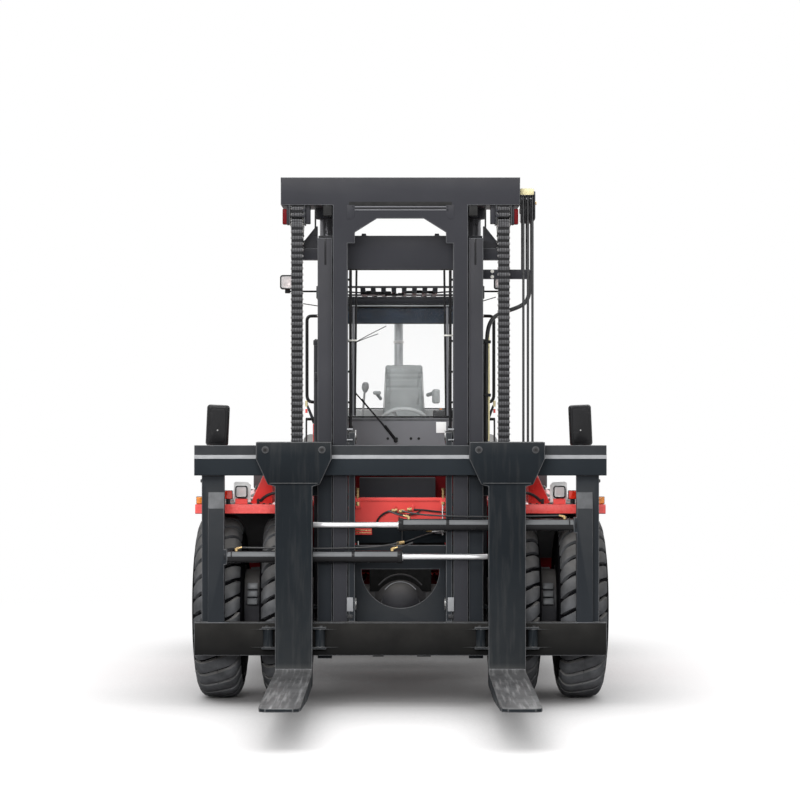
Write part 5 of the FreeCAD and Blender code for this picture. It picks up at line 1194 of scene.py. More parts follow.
class FORKLIFT_OT_cylinders(Maker, bpy.types.Operator):
    """Barrels, rods and sheaves with collars and polished faces."""
    bl_idname = "forklift.cylinders"
    bl_label = "Cylinders and sheaves"

    def execute(self, context):
        for node, body, keys in (
            ("lift_cylinders", "outer_mast", ("mast_paint", "mast_edge")),
            ("lift_rods", "inner_mast", ("ram_steel_painted_shade", "ram_steel_painted_shade")),
            ("tilt_cylinders", "tilt_cylinders", ("mast_paint", "mast_edge")),
            ("tilt_rods", "tilt_rods", ("rod_chrome", "zinc")),
            ("chain_sheaves", "inner_mast", ("axle_paint", "zinc")),
            ("positioner_cylinders", "fork_carriage", ("gloss_black", "grey_painted_highlight")),
            ("positioner_rod_left", "fork_left", ("rod_chrome", "rod_chrome")),
            ("positioner_rod_right", "fork_right", ("rod_chrome", "rod_chrome")),
            ("front_axle", "chassis", ("axle_paint", "mast_edge")),
            ("rear_axle", "chassis", ("axle_paint", "mast_edge")),
            ("knuckle_left", "knuckle_left", ("axle_paint", "mast_edge")),
            ("knuckle_right", "knuckle_right", ("axle_paint", "mast_edge")),
            ("engine_block", "chassis", ("engine_iron", "engine_iron")),
        ):
            bm = cad_copy(node)
            soften(bm, 0.003)
            # Painted highlight: the positioner barrels' upper faces take a lighter grey.
            for face in bm.faces:
                if node == "positioner_cylinders" and 0.05 < face.normal.z < 0.8:
                    face.material_index = 1
            piece(node + "_finished", bm, body, keys, (node,), 25)
        bm = bmesh.new()
        for c, s in circle(14):
            bolt(bm, at(0, -295, AXLE_Z) + Vector((c, 0, s)) * 0.128, (0, -1, 0), 0.010, 0)
        turned(bm, [(0.0, 0.020), (0.05, 0.018), (0.085, 0.008), (0.100, 0.0)], at(0, -295, AXLE_Z),
               (0, -1, 0), 0, 40)
        turned(bm, [(0.0, 0.052), (0.04, 0.050), (0.08, 0.040), (0.11, 0.024), (0.135, 0.0)],
               at(0, -297, 742), (0, -1, 0), 0, 48)
        # The thin light arc is a painted highlight on the dome's top.
        for reach, size, mat in ((141, 0.0035, 2), (196, 0.006, 0)):
            hose(bm, [(reach * math.cos(math.radians(a)), -318, 742 + reach * math.sin(math.radians(a)))
                      for a in range(36, 150, 12)], size, mat)
        turned(bm, [(0.250, -0.012), (0.262, -0.012), (0.262, 0.012), (0.250, 0.012)], at(0, -40, AXLE_Z),
               (0, 1, 0), 0, 56)
        for half in halves(bm):
            half.pin((700, 0, AXLE_Z), (16, 0, 0), 0.19, 0, sides=40, bevel=0.006)
            half.rod((330, 160, 700), (330, 215, 720), 0.06, 0, sides=24, bevel=0.004)
            half.hose([(330, 210, 720), (330, 260, 740), (300, 320, 800), (260, 380, 900)], 0.012, 1)
        pin(bm, at(0, 420, AXLE_Z), (0, 28, 0), 0.085, 0, sides=28, bevel=0.004)
        rod(bm, at(0, 445, 688), at(0, 1900, 760), 0.042, 0, sides=24)
        for y, z in ((470, 689), (1880, 759)):
            slab(bm, -62, 62, y - 32, y + 32, z - 26, z + 26, 0, 8)
        piece("axle_trim", bm, "chassis", ("axle_paint", "hose_rubber", "edge_painted_highlight"))
        return {"FINISHED"}


class FORKLIFT_OT_cab(Maker, bpy.types.Operator):
    """Cowl plate, windscreen seal, wipers, sun band and roof fittings."""
    bl_idname = "forklift.cab"
    bl_label = "Cab front and roof"

    def execute(self, context):
        self.cowl()
        self.screen()
        self.roof()
        return {"FINISHED"}

    def cowl(self):
        """Grey plate under the windscreen with a raised panel, grommets and a blank sticker."""
        bm = bmesh.new()
        slab(bm, -482, 482, 289, 300.5, 1650, 2088, 0, 3)
        panel = [(-300, 1760), (-270, 1730), (270, 1730), (300, 1760), (300, 2072), (-300, 2072)]
        plate(bm, [at(x, 290, z) for x, z in panel], Vector((0, -0.005, 0)), 0, 2)
        # This light strip along the top, and the thin one across the panel below, are painted highlights.
        slab(bm, -482, 482, 284, 289.5, 2066, 2084, 1, 2)
        # Dark discs for the grommets' holes: painted shade.
        for x in (-96, -28, 80, 140):
            pin(bm, at(x, 287, 1933), (0, -4, 0), 0.0105, 2, sides=16)
        for x in (-430, -370, 370, 430):
            bolt(bm, at(x, 289, 2020), (0, -1, 0), 0.008, 4)
            bolt(bm, at(x, 289, 1720), (0, -1, 0), 0.008, 4)
        slab(bm, 272, 348, 282.5, 290, 1977, 2060, 3, 0.8)
        slab(bm, -300, 300, 284, 286.5, 1864, 1872, 1, 1)
        piece("cowl_plate", bm, "chassis", ("cowl_grey", "mast_edge", "black_and_painted_shade", "white_plate",
                                            "bolt_black"))

    def screen(self):
        """Rubber seal round the windscreen, tinted band, wiper arms and blades."""
        bm = bmesh.new()
        head = 2960
        for y, low, edge in ((312, 2090, 565), (1872, 2150, 575)):
            for z in (low + 2, head - 14):
                slab(bm, -edge, edge, y, y + 16, z, z + 12, 0, 2)
            for half in halves(bm):
                half.slab(edge - 12, edge, y, y + 16, low, head, 0, 2)
        for half in halves(bm):
            half.slab(606, 620, 364, 376, 2100, 2970, 0, 2)
        piece("screen_seals", bm, "chassis", ("gloss_black",))
        bm = bmesh.new()
        slab(bm, -558, 558, 328, 333, 2812, 2955, 0, 1)
        for half in halves(bm):
            half.pin((540, 340, 2965), (0, 0, -165), 0.006, 1, sides=10)
        slab(bm, -560, 560, 326, 335, 2806, 2814, 1, 1)
        slab(bm, -372, 372, 282, 290, 2926, 2938, 1, 1)
        slab(bm, -372, 372, 282, 290, 2939, 2949, 2, 1)
        piece("sun_band", bm, "chassis", ("visor_film", "gloss_black", "pale_pipe"))
        bm = bmesh.new()
        hose(bm, [(-372, 292, 2316), (-340, 288, 2278), (-250, 282, 2175), (-130, 279, 2035),
                  (-62, 278, 1952), (-36, 280, 1917)], 0.0055, 0)
        hose(bm, [(-292, 292, 2236), (-262, 286, 2192), (-208, 282, 2132), (-150, 280, 2066),
                  (-110, 279, 2018)], 0.0035, 0)
        hose(bm, [(-120, 276, 2030), (-80, 275, 1980), (-52, 275, 1944), (-38, 276, 1925)], 0.012, 0)
        pin(bm, at(-36, 290, 1917), (0, -24, 0), 0.016, 0, sides=16, bevel=0.002)
        for x, z in ((-107, 2790), (-170, 2730)):
            hose(bm, [(-350, 298, 2660), (-300, 296, 2672 + (z - 2660) * 0.15),
                      ((x - 350) / 2, 294, (z + 2660) / 2 + 4), (x, 300, z)], 0.0030, 1)
        piece("wipers", bm, "chassis", ("gloss_black", "hose_rubber"))

    def roof(self):
        """Header strip, fittings on the roof's front and thin aerial stalks."""
        bm = bmesh.new()
        slab(bm, -620, 620, 288, 300, 2972, 2996, 0, 3)
        # A light strip under the header: painted highlight.
        slab(bm, -565, 565, 322, 328, 2956, 2962, 4, 1)
        slab(bm, -305, -120, 372, 420, 3030, 3056, 1, 6)
        slab(bm, -118, -20, 372, 420, 3022, 3042, 1, 5)
        slab(bm, 30, 285, 372, 410, 3040, 3062, 1, 5)
        for x, z, w in ((-262, 3062, 58), (-150, 3058, 80), (-20, 3046, 46), (95, 3066, 70), (215, 3060, 52)):
            slab(bm, x, x + w, 372, 402, z - 22, z, 1, 5)
        hose(bm, [(-300, 350, 3045), (-380, 380, 3050), (-470, 400, 3062), (-560, 390, 3075),
                  (-600, 350, 3090)], 0.006, 3)
        hose(bm, [(280, 350, 3045), (350, 372, 3056), (450, 380, 3050), (560, 372, 3060), (610, 350, 3080)],
             0.006, 3)
        for side, z0, z1 in ((1, 2975, 3010), (-1, 2940, 2960)):
            half = Half(bm, side)
            rod(bm, at(side * 612, 300, z0), at(side * (727 if side > 0 else 740), 300, z1), 0.0035, 1,
                sides=8)
            half.rod((604, 300, z0 - 3), (618, 300, z0 + 3), 0.008, 1, sides=10)
            half.slab(598, 640, 288, 300, 3004, 3014, 2, 1)
        for x in (-560, -190, 190, 560):
            bolt(bm, at(x, 290, 3012), (0, -1, 0), 0.008, 2)
        piece("roof_fittings", bm, "chassis", ("cab_dark", "gloss_black", "bolt_black", "hose_rubber",
                                               "edge_painted_highlight"))


class FORKLIFT_OT_handrails(Maker, bpy.types.Operator):
    """Bent handrails beside the cab's posts, and the mirrors."""
    bl_idname = "forklift.handrails"
    bl_label = "Handrails and mirrors"

    def execute(self, context):
        bm = bmesh.new()
        for side in SIDES:
            half = Half(bm, side)
            route = [(626, 2867), (650, 2867), (672, 2867), (690, 2866), (703, 2858), (711, 2844),
                     (712, 2826), (712, 2780), (712, 2500), (712, 2320), (712, 2270), (711, 2246),
                     (704, 2228), (692, 2216), (672, 2210), (626, 2210)]
            hose(bm, [(side * x, 320, z) for x, z in route], 0.0125, 0, 4, 6)
            for z in (2867, 2210):
                half.pin((624, 320, z), (6, 0, 0), 0.026, 0, sides=20, bevel=0.002)
                for y in (304, 336):
                    half.bolt((629, y, z), (1, 0, 0), 0.006, 1)
            half.slab(640, 700, 306, 334, 2204, 2222, 0, 3)
            half.hose([(716, 316, 2080), (717, 314, 2000), (716, 318, 1850), (714, 316, 1720),
                       (700, 316, 1600)], 0.007, 2)
            half.slab(640, 722, 306, 330, 2070, 2092, 0, 4)
            half.pin((716, 318, 2176), (0, 0, 46), 0.010, 3, sides=12)
            half.pin((716, 318, 2128), (0, 0, 30), 0.009, 4, sides=12)
            block = [(704, 2190), (716, 2178), (668, 2045), (655, 2050), (655, 2080)]
            plate(bm, [at(side * x, 322, z) for x, z in block], Vector((0, 0.045, 0)), 5, 2)
            half.slab(628, 667, 300, 345, 1900, 2046, 6, 6)
        piece("handrails", bm, "chassis", ("gloss_black", "zinc", "hose_rubber", "cream", "red_edge",
                                           "cab_dark", "red_edge"), ("grab_rails",))
        bm = bmesh.new()
        for side in SIDES:
            self.mirror(bm, side)
        piece("mirror_heads", bm, "chassis", ("gloss_black", "mirror_glass", "black_trim", "zinc"),
              ("mirrors",), 50)
        return {"FINISHED"}

    def mirror(self, bm, side):
        """Moulded shell with a rolled rim, glass to the rear, arm and clamp on a stalk."""
        tilt = Matrix.Rotation(math.radians(-2.6 * side), 4, "Y")
        middle = at(side * 1347 - (20 if side > 0 else 0), -388, 2038)
        for half_x, half_z, y0, y1, mat, edge in ((80, 148, -22, 16, 0, 20), (84, 152, 12, 30, 0, 9),
                                                  (70, 138, 28, 34, 1, 5), (60, 122, -30, -20, 0, 9)):
            shell = cube(Vector((2 * half_x, y1 - y0, 2 * half_z)) / MM, (0, (y0 + y1) / 2 / MM, 0))
            round_off(shell, 1, 0.024 if edge > 5 else 0.018, 4)
            settle(bm, shell, mat, min(edge, (y1 - y0) * 0.42) / MM, Matrix.Translation(middle) @ tilt, 3, 60)
        foot = side * 1345 - (20 if side > 0 else 0)
        pin(bm, at(foot, -395, 1464), (0, 0, 546), 0.0125, 2, sides=18)
        pin(bm, at(foot, -395, 1463), (0, 0, 12), 0.034, 2, sides=24, bevel=0.003)
        for z in (1870, 1990):
            slab(bm, foot - 22, foot + 22, -414, -380, z, z + 26, 2, 5)
            bolt(bm, at(foot, -414, z + 13), (0, -1, 0), 0.006, 3)


class FORKLIFT_OT_lamps(Maker, bpy.types.Operator):
    """Head lamps on white brackets, marker lamps, roof lamps and rear lamps."""
    bl_idname = "forklift.lamps"
    bl_label = "Lamps"

    def squared(self, bm, centre, half_x, half_z, y0, y1, mat, corner, edge=3.0):
        """A block with rounded upright corners, seen from the front."""
        part = cube(Vector((2 * half_x, y1 - y0, 2 * half_z)) / MM, (0, (y0 + y1) / 2 / MM, 0))
        round_off(part, 1, corner / MM, 5)
        settle(bm, part, mat, edge / MM, Matrix.Translation(centre), 2, 60)

    def ring(self, bm, centre, half, corner, width, y0, y1, mat):
        """A rounded square ring, as four corner-joined sides."""
        shape = []
        for quarter in range(4):
            for step in range(6):
                angle = math.pi / 2 * (quarter + step / 5)
                cx = (half - corner) * (1 if quarter in (0, 3) else -1)
                cz = (half - corner) * (1 if quarter in (0, 1) else -1)
                shape.append((cx, cz, math.cos(angle), math.sin(angle)))
        part = bmesh.new()
        loops = []
        for y, inset in ((y1, 0), (y0 + 4, 0), (y0, 4), (y0, width - 3), (y0 + 5, width), (y1, width)):
            radius = corner - inset
            loops.append([part.verts.new(((cx + c * radius) / MM, y / MM, (cz + s * radius) / MM)) for cx, cz,
                          c, s in shape])
        for first, second in zip(loops, loops[1:]):
            for i in range(len(first)):
                j = (i + 1) % len(first)
                part.faces.new((first[i], first[j], second[j], second[i]))
        bmesh.ops.remove_doubles(part, verts=part.verts, dist=WELD)
        bmesh.ops.recalc_face_normals(part, faces=part.faces)
        settle(bm, part, mat, 0, Matrix.Translation(centre))

    def execute(self, context):
        bm = bmesh.new()
        for side in SIDES:
            self.head(bm, side)
            self.marker(bm, side)
        for x0, side in ((735, 1), (805, -1)):
            self.roof(bm, side * (x0 + 55), side)
        for side in SIDES:
            self.rear(bm, side)
        piece("lamp_sets", bm, "chassis", ("gloss_black", "white_plate", "lamp_bowl", "lamp_lens", "red_lens",
                                           "amber_lens", "bolt_black", "hose_rubber"),
              ("lamps",), 40)
        return {"FINISHED"}

    def head(self, bm, side):
        """A square lamp on its white bracket."""
        half = Half(bm, side)
        spot = at(side * 1163, -520, 1553)
        shape = [(1098, 1481), (1222, 1481), (1226, 1500), (1222, 1616), (1206, 1627), (1118, 1622),
                 (1098, 1600)]
        plate(bm, [at(side * x, -462, z) for x, z in shape], Vector((0, 0.005, 0)), 1, 1)
        half.slab(1100, 1222, -464, -400, 1478, 1484, 1, 1)
        self.squared(bm, spot, 40, 40, 6, 52, 0, 15, 6)
        self.ring(bm, spot, 45, 18, 8, -24, 10, 0)
        self.squared(bm, spot, 36, 36, -6, 6, 2, 13, 2)
        turned(bm, [(0.0, 0.0), (0.012, 0.001), (0.024, 0.005), (0.033, 0.012)],
               spot + Vector((0, -0.008, 0)), (0, -1, 0), 2, 32)
        rod(bm, spot + Vector((0, -0.006, 0)), spot + Vector((0, -0.016, 0)), 0.008, 4, sides=16)
        self.squared(bm, spot, 37, 37, -22, -18, 3, 13, 1.5)
        half.hose([(1150, -468, 1520), (1145, -450, 1500), (1120, -430, 1488), (1060, -420, 1490)], 0.005, 7)
        for x in (1112, 1210, 1150):
            half.bolt((x, -430, 1484), (0, 0, 1), 0.007, 6)

    def marker(self, bm, side):
        """Two marker lamps on the wing's front, the inner one red and the outer one amber."""
        spot = at(side * 1260, -525, 1532)
        self.squared(bm, spot, 33, 33, -2, 20, 0, 8, 3)
        self.squared(bm, spot, 30, 30, -20, -1, 4, 10, 6)
        slab(bm, side * 1244, side * 1276, -535, -510, 1463, 1502, 0, 3)
        spot = at(side * 1468, -522, 1492)
        self.squared(bm, spot, 27, 28, 2, 22, 0, 7, 3)
        self.squared(bm, spot, 24, 25, -22, 3, 5, 9, 6)

    def roof(self, bm, x, side):
        """A square lamp on an arm beside the roof."""
        x -= 25 if side > 0 else 0
        spot = at(x, 300, 3122)
        self.squared(bm, spot, 52, 52, -6, 30, 0, 16, 8)
        self.ring(bm, spot, 55, 20, 10, -38, 0, 0)
        self.squared(bm, spot, 45, 45, -12, -4, 2, 16, 2)
        self.squared(bm, spot, 46, 46, -34, -30, 3, 16, 1.5)
        turned(bm, [(0.0, 0.0), (0.014, 0.001), (0.030, 0.006), (0.040, 0.014)],
               spot + Vector((0, -0.014, 0)), (0, -1, 0), 2, 32)
        slab(bm, side * 640, x, 334, 346, 3048, 3062, 0, 3)
        slab(bm, x - 20, x + 20, 326, 350, 3040, 3088, 0, 4)

    def rear(self, bm, side):
        """Two round lenses on a plate on the casting's rear corner."""
        way = Vector((side, 1, 0)).normalized()
        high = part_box("counterweight")[1]
        corner = Vector((side * (high.x - 0.130), high.y - 0.130, 0))
        for z, mat in ((1.545, 4), (1.425, 5)):
            spot = corner + Vector((0, 0, z)) + way * 0.002
            turned(bm, [(0.0, 0.012), (0.050, 0.012), (0.055, 0.008), (0.055, -0.004)], spot, way, 0, 36)
            turned(bm, [(0.0, 0.030), (0.018, 0.029), (0.034, 0.024), (0.044, 0.016), (0.047, 0.010)], spot,
                   way, mat, 36)


class FORKLIFT_OT_seat(Maker, bpy.types.Operator):
    """Driver's seat: two padded covers blown up as cloth, with piping and sewn channels."""
    bl_idname = "forklift.seat"
    bl_label = "Driver's seat"

    def blow(self, name, bm, fixed):
        """Blows the closed form up as cloth, holding what rests on its carrier."""
        mesh = bpy.data.meshes.new(name)
        bm.to_mesh(mesh)
        bm.free()
        obj = bpy.data.objects.new(name, mesh)
        bpy.context.scene.collection.objects.link(obj)
        bpy.context.view_layer.objects.active = obj
        remesh = obj.modifiers.new("remesh", "REMESH")
        remesh.mode = "VOXEL"
        remesh.voxel_size = sizes().voxel
        obj.data = self.settled(obj)
        obj.modifiers.clear()
        start = [v.co.copy() for v in obj.data.vertices]
        held = obj.vertex_groups.new(name="held")
        held.add([v.index for v in obj.data.vertices if fixed(v.co)], 1.0, "REPLACE")
        cloth = obj.modifiers.new("cloth", "CLOTH")
        cloth.settings.vertex_group_mass = "held"
        cloth.settings.use_pressure = True
        cloth.settings.uniform_pressure_force = 4.0
        cloth.settings.effector_weights.gravity = 0.0
        cloth.settings.quality = 5
        cloth.point_cache.frame_start = 1
        cloth.point_cache.frame_end = 20
        for number in range(1, 21):
            bpy.context.scene.frame_set(number)
        obj.data = self.settled(obj)
        obj.modifiers.clear()
        bpy.context.scene.frame_set(1)
        for vert, old in zip(obj.data.vertices, start):
            moved = vert.co - old
            if moved.length > BLOWN_MOST:
                vert.co = old + moved.normalized() * BLOWN_MOST
        return obj

    def settled(self, obj):
        """The mesh as its modifiers leave it."""
        graph = bpy.context.evaluated_depsgraph_get()
        graph.update()
        return bpy.data.meshes.new_from_object(obj.evaluated_get(graph))

    def channel(self, mesh, lines, depth, width):
        """Presses sewn channels into the cover."""
        for vert in mesh.vertices:
            for axis, place, faces in lines:
                near = abs(vert.co[axis] - place)
                if near < width and vert.normal.dot(faces) > 0.35:
                    vert.co -= vert.normal * depth * (1 - near / width) ** 2 * min(1.0,
                            max(0.0, vert.normal.dot(faces)))

    def cover(self, name, obj, route):
        """The finished cover, with piping laid on it along the route."""
        bm = bmesh.new()
        bm.from_mesh(obj.data)
        tree = BVHTree.FromBMesh(bm)
        laid = [tree.find_nearest(at(*point)) for point in route]
        points = [spot[0] + spot[1] * PIPING * 0.2 for spot in laid]
        hose(bm, [(p.x * MM, (p.y - AXLE_Y) * MM, p.z * MM) for p in points], PIPING, 1, 2, 3)
        bpy.data.objects.remove(obj)
        made = piece(name, bm, "chassis", ("seat_vinyl", "seat_seam"), ("seat",), 60)
        smooth = made.modifiers.new("smooth", "SUBSURF")
        smooth.levels = smooth.render_levels = 1

    def execute(self, context):
        low = at(0, 0, SEAT_Z).z
        form = bmesh.new()
        slab(form, -186, 246, 1104, 1588, 1874, 1990, 0, 42, None, 5)
        obj = self.blow("cushion_form", form, lambda co: co.z < low + 0.012)
        self.channel(obj.data, [(1, at(0, y, 0).y, Vector((0, 0, 1))) for y in (1235, 1370, 1490)], 0.011,
                     0.022)
        self.channel(obj.data, [(0, at(x, 0, 0).x, Vector((0, 0, 1))) for x in (-115, 175)], 0.009, 0.018)
        for vert in obj.data.vertices:
            vert.co.z = max(vert.co.z, low)
        ring = [(x, y, 1968) for x, y in ((-160, 1100), (30, 1090), (220, 1100), (250, 1150), (256, 1340),
                                          (250, 1540), (215, 1592), (30, 1600), (-155, 1592), (-190, 1540),
                                          (-196, 1340), (-190, 1150), (-160, 1100))]
        self.cover("seat_cushion", obj, ring)
        form = bmesh.new()
        slab(form, -166, 224, 1632, 1712, 1964, 2532, 0, 34, None, 5)
        for vert in form.verts:
            share = (vert.co.z - at(0, 0, BACK_Z + 2).z) / BACK_HEIGHT
            vert.co.x = SEAT_MIDDLE + (vert.co.x - SEAT_MIDDLE) * (1 - BACK_TAPER * share)
            vert.co.y += (vert.co.z - at(0, 0, BACK_Z).z) * BACK_LEAN
        back = at(0, 1790, 0).y
        obj = self.blow("back_form", form, lambda co: co.y > back)
        self.channel(obj.data, [(2, at(0, 0, z).z, Vector((0, -1, 0))) for z in (2330, 2400, 2440)], 0.010,
                     0.018)
        self.channel(obj.data, [(0, at(x, 0, 0).x, Vector((0, -1, 0))) for x in (-96, 150)], 0.008, 0.018)
        ring = [(x, 1660 + (z - BACK_Z) * BACK_LEAN, z) for x,
                z in ((-150, 1960), (30, 1955), (210, 1960), (234, 2000), (222, 2250), (204, 2480),
                      (180, 2540), (30, 2545), (-120, 2540), (-144, 2480), (-164, 2250), (-174, 2000),
                      (-150, 1960))]
        self.cover("seat_back", obj, ring)
        return {"FINISHED"}


class FORKLIFT_OT_cabin(Maker, bpy.types.Operator):
    """Controls and furniture inside the cab."""
    bl_idname = "forklift.cabin"
    bl_label = "Cab interior"

    def execute(self, context):
        bm = cad_copy("seat_base")
        soften(bm, 0.008)
        for step in range(5):
            slab(bm, -158 + step % 2 * 6, 218 - step % 2 * 6, 1158, 1592, 1700 + step * 30, 1726 + step * 30,
                 2, 8)
        for side in SIDES:
            slab(bm, 30 + side * 188, 30 + side * 202, 1120, 1580, 1846, 1868, 3, 2)
        slab(bm, 296, 424, 1010, 1590, 2128, 2152, 0, 10)
        slab(bm, 256, 314, 1230, 1560, 2200, 2316, 5, 16)
        rod(bm, at(285, 1520, 2290), at(222, 1640, 2270), 0.016, 5, sides=18)
        slab(bm, -218, -156, 1240, 1560, 2270, 2300, 5, 12)
        rod(bm, at(-190, 1540, 2280), at(-160, 1640, 2240), 0.014, 5, sides=18)
        for row in range(3):
            for column in range(4):
                slab(bm, 312 + column * 27, 330 + column * 27, 1130 + row * 40, 1156 + row * 40, 2150, 2160,
                     4 if (row + column) % 4 == 0 else 0, 2)
        piece("seat_base_finished", bm, "chassis", ("black_trim", "black_trim", "hose_rubber", "zinc",
                                                    "amber_lens", "seat_vinyl"), ("seat_base",))
        self.dash()
        self.wheel()
        bm = bmesh.new()
        slab(bm, -585, 585, 350, 1780, 1514, 1521, 0, 2)
        for x in range(-560, 570, 35):
            slab(bm, x, x + 16, 360, 1140, 1520, 1524, 0, 1)
        for x, w in ((-190, 90), (70, 55), (150, 70)):
            slab(bm, x, x + w, 560, 576, 1600, 1690, 0, 5)
            for z in (1612, 1634, 1656, 1676):
                slab(bm, x + 5, x + w - 5, 576, 580, z, z + 8, 0, 1.5)
            rod(bm, at(x + w / 2, 560, 1640), at(x + w / 2, 440, 1720), 0.010, 1, sides=14)
        piece("floor_and_pedals", bm, "chassis", ("floor_mat", "zinc"))
        return {"FINISHED"}

    def dash(self):
        """Dashboard with dials, switches, a screen and a lever."""
        bm = cad_copy("dashboard")
        soften(bm, 0.010)
        y = 500
        for x in (-60, 120):
            turned(bm, [(0.046, 0.0), (0.050, 0.006), (0.047, 0.011), (0.042, 0.010), (0.041, 0.004)],
                   at(x, y, 2002), (0, 0.21, 1), 1, 32)
            turned(bm, [(0.0, 0.005), (0.042, 0.005)], at(x, y, 2002), (0, 0.21, 1), 2, 32)
            for tick in range(9):
                angle = math.radians(-30 + tick * 30)
                spot = at(x + 34 * math.cos(angle), y + 34 * math.sin(angle), 2008)
                rod(bm, spot, spot + Vector((math.cos(angle), math.sin(angle), 0)) * 0.006, 0.0012, 0,
                    sides=6)
            rod(bm, at(x, y, 2009), at(x - 22, y + 16, 2007), 0.0016, 4, sides=6)
        for column in range(7):
            slab(bm, -520 + column * 42, -492 + column * 42, 556, 584, 1998, 2006, 0, 2)
            slab(bm, 230 + column * 42, 258 + column * 42, 556, 584, 1998, 2006, 0, 2)
        slab(bm, 250, 470, 470, 500, 2010, 2150, 1, 8)
        slab(bm, 262, 458, 498, 503, 2024, 2138, 3, 1)
        rod(bm, at(360, 470, 2000), at(360, 482, 2030), 0.018, 1, sides=16)
        rod(bm, at(-300, 600, 1990), at(-276, 640, 2300), 0.008, 5, sides=12)
        turned(bm, [(0.0, 0.082), (0.016, 0.080), (0.026, 0.066), (0.028, 0.036), (0.016, 0.008),
                    (0.008, 0.0)], at(-274, 640, 2284), (0.06, 0.1, 1), 5, 28)
        hose(bm, [(30, 660, 1860), (90, 650, 1890), (150, 660, 1925), (190, 670, 1950)], 0.005, 1)
        rod(bm, at(186, 670, 1948), at(212, 676, 1960), 0.010, 1, sides=14)
        piece("dashboard_finished", bm, "chassis", ("seat_vinyl", "gloss_black", "dial_face", "black_and_painted_shade",
                                                    "red_lens", "seat_seam"), ("dashboard",),
              28)

    def wheel(self):
        """Steering wheel with its cap and knob."""
        bm = cad_copy("steering_wheel")
        centre, lean = at(30, 810, 2045), Vector((0, 210, 270)).normalized()
        turned(bm, [(0.0, 0.046), (0.020, 0.045), (0.034, 0.040), (0.044, 0.030), (0.046, 0.020)], centre,
               lean, 1, 36)
        side = Vector((1, 0, 0))
        up = lean.cross(side).normalized()
        knob = centre + (side * -0.5 + up * 0.86).normalized() * 0.185 + lean * 0.016
        turned(bm, [(0.0, 0.046), (0.014, 0.044), (0.021, 0.034), (0.020, 0.020), (0.009, 0.006),
                    (0.008, 0.0)], knob, lean, 1, 28)
        piece("steering_wheel_finished", bm, "chassis", ("seat_vinyl", "seat_seam"),
              ("steering_wheel",), 50)


class FORKLIFT_OT_doors(Maker, bpy.types.Operator):
    """Window seals, latch, hinge bolts and pull handle on each door."""
    bl_idname = "forklift.doors"
    bl_label = "Door fittings"

    def frame_of(self, bm, side, y0, y1, z0, z1, width, mat):
        """A rubber seal round one window."""
        x0, x1 = side * 620, side * 628
        slab(bm, x0, x1, y0 - width, y1 + width, z0 - width, z0 + 3, mat, 2)
        slab(bm, x0, x1, y0 - width, y1 + width, z1 - 3, z1 + width, mat, 2)
        slab(bm, x0, x1, y0 - width, y0 + 3, z0, z1, mat, 2)
        slab(bm, x0, x1, y1 - 3, y1 + width, z0, z1, mat, 2)

    def execute(self, context):
        for name, side in HANDS:
            bm = bmesh.new()
            self.frame_of(bm, side, 555, 1725, 2090, 2910, 16, 0)
            self.frame_of(bm, side, 555, 1045, 1640, 1950, 16, 0)
            slab(bm, side * 624, side * 634, 515, 580, 1960, 2085, 1, 5)
            pin(bm, at(side * 630, 548, 2024), (side * 7, 0, 0), 0.013, 2, sides=20)
            for z in (1700, 2760):
                for y in (1720, 1750):
                    bolt(bm, at(side * 624, y, z + 88), (side, 0, 0), 0.009, 3)
            Half(bm, side).hose([(597, 600, 2055), (575, 600, 2050), (562, 640, 2045), (562, 800, 2045),
                                 (562, 860, 2045), (575, 900, 2050), (597, 900, 2055)], 0.010, 1)
            for z in (1520, 1600, 2000):
                slab(bm, side * 624.5, side * 627, 700, 1600, z, z + 10, 4, 1)
            piece("door_trim_" + name, bm, "door_" + name, ("gloss_black", "black_trim", "zinc", "bolt_black",
                                                            "mast_edge"))
        return {"FINISHED"}


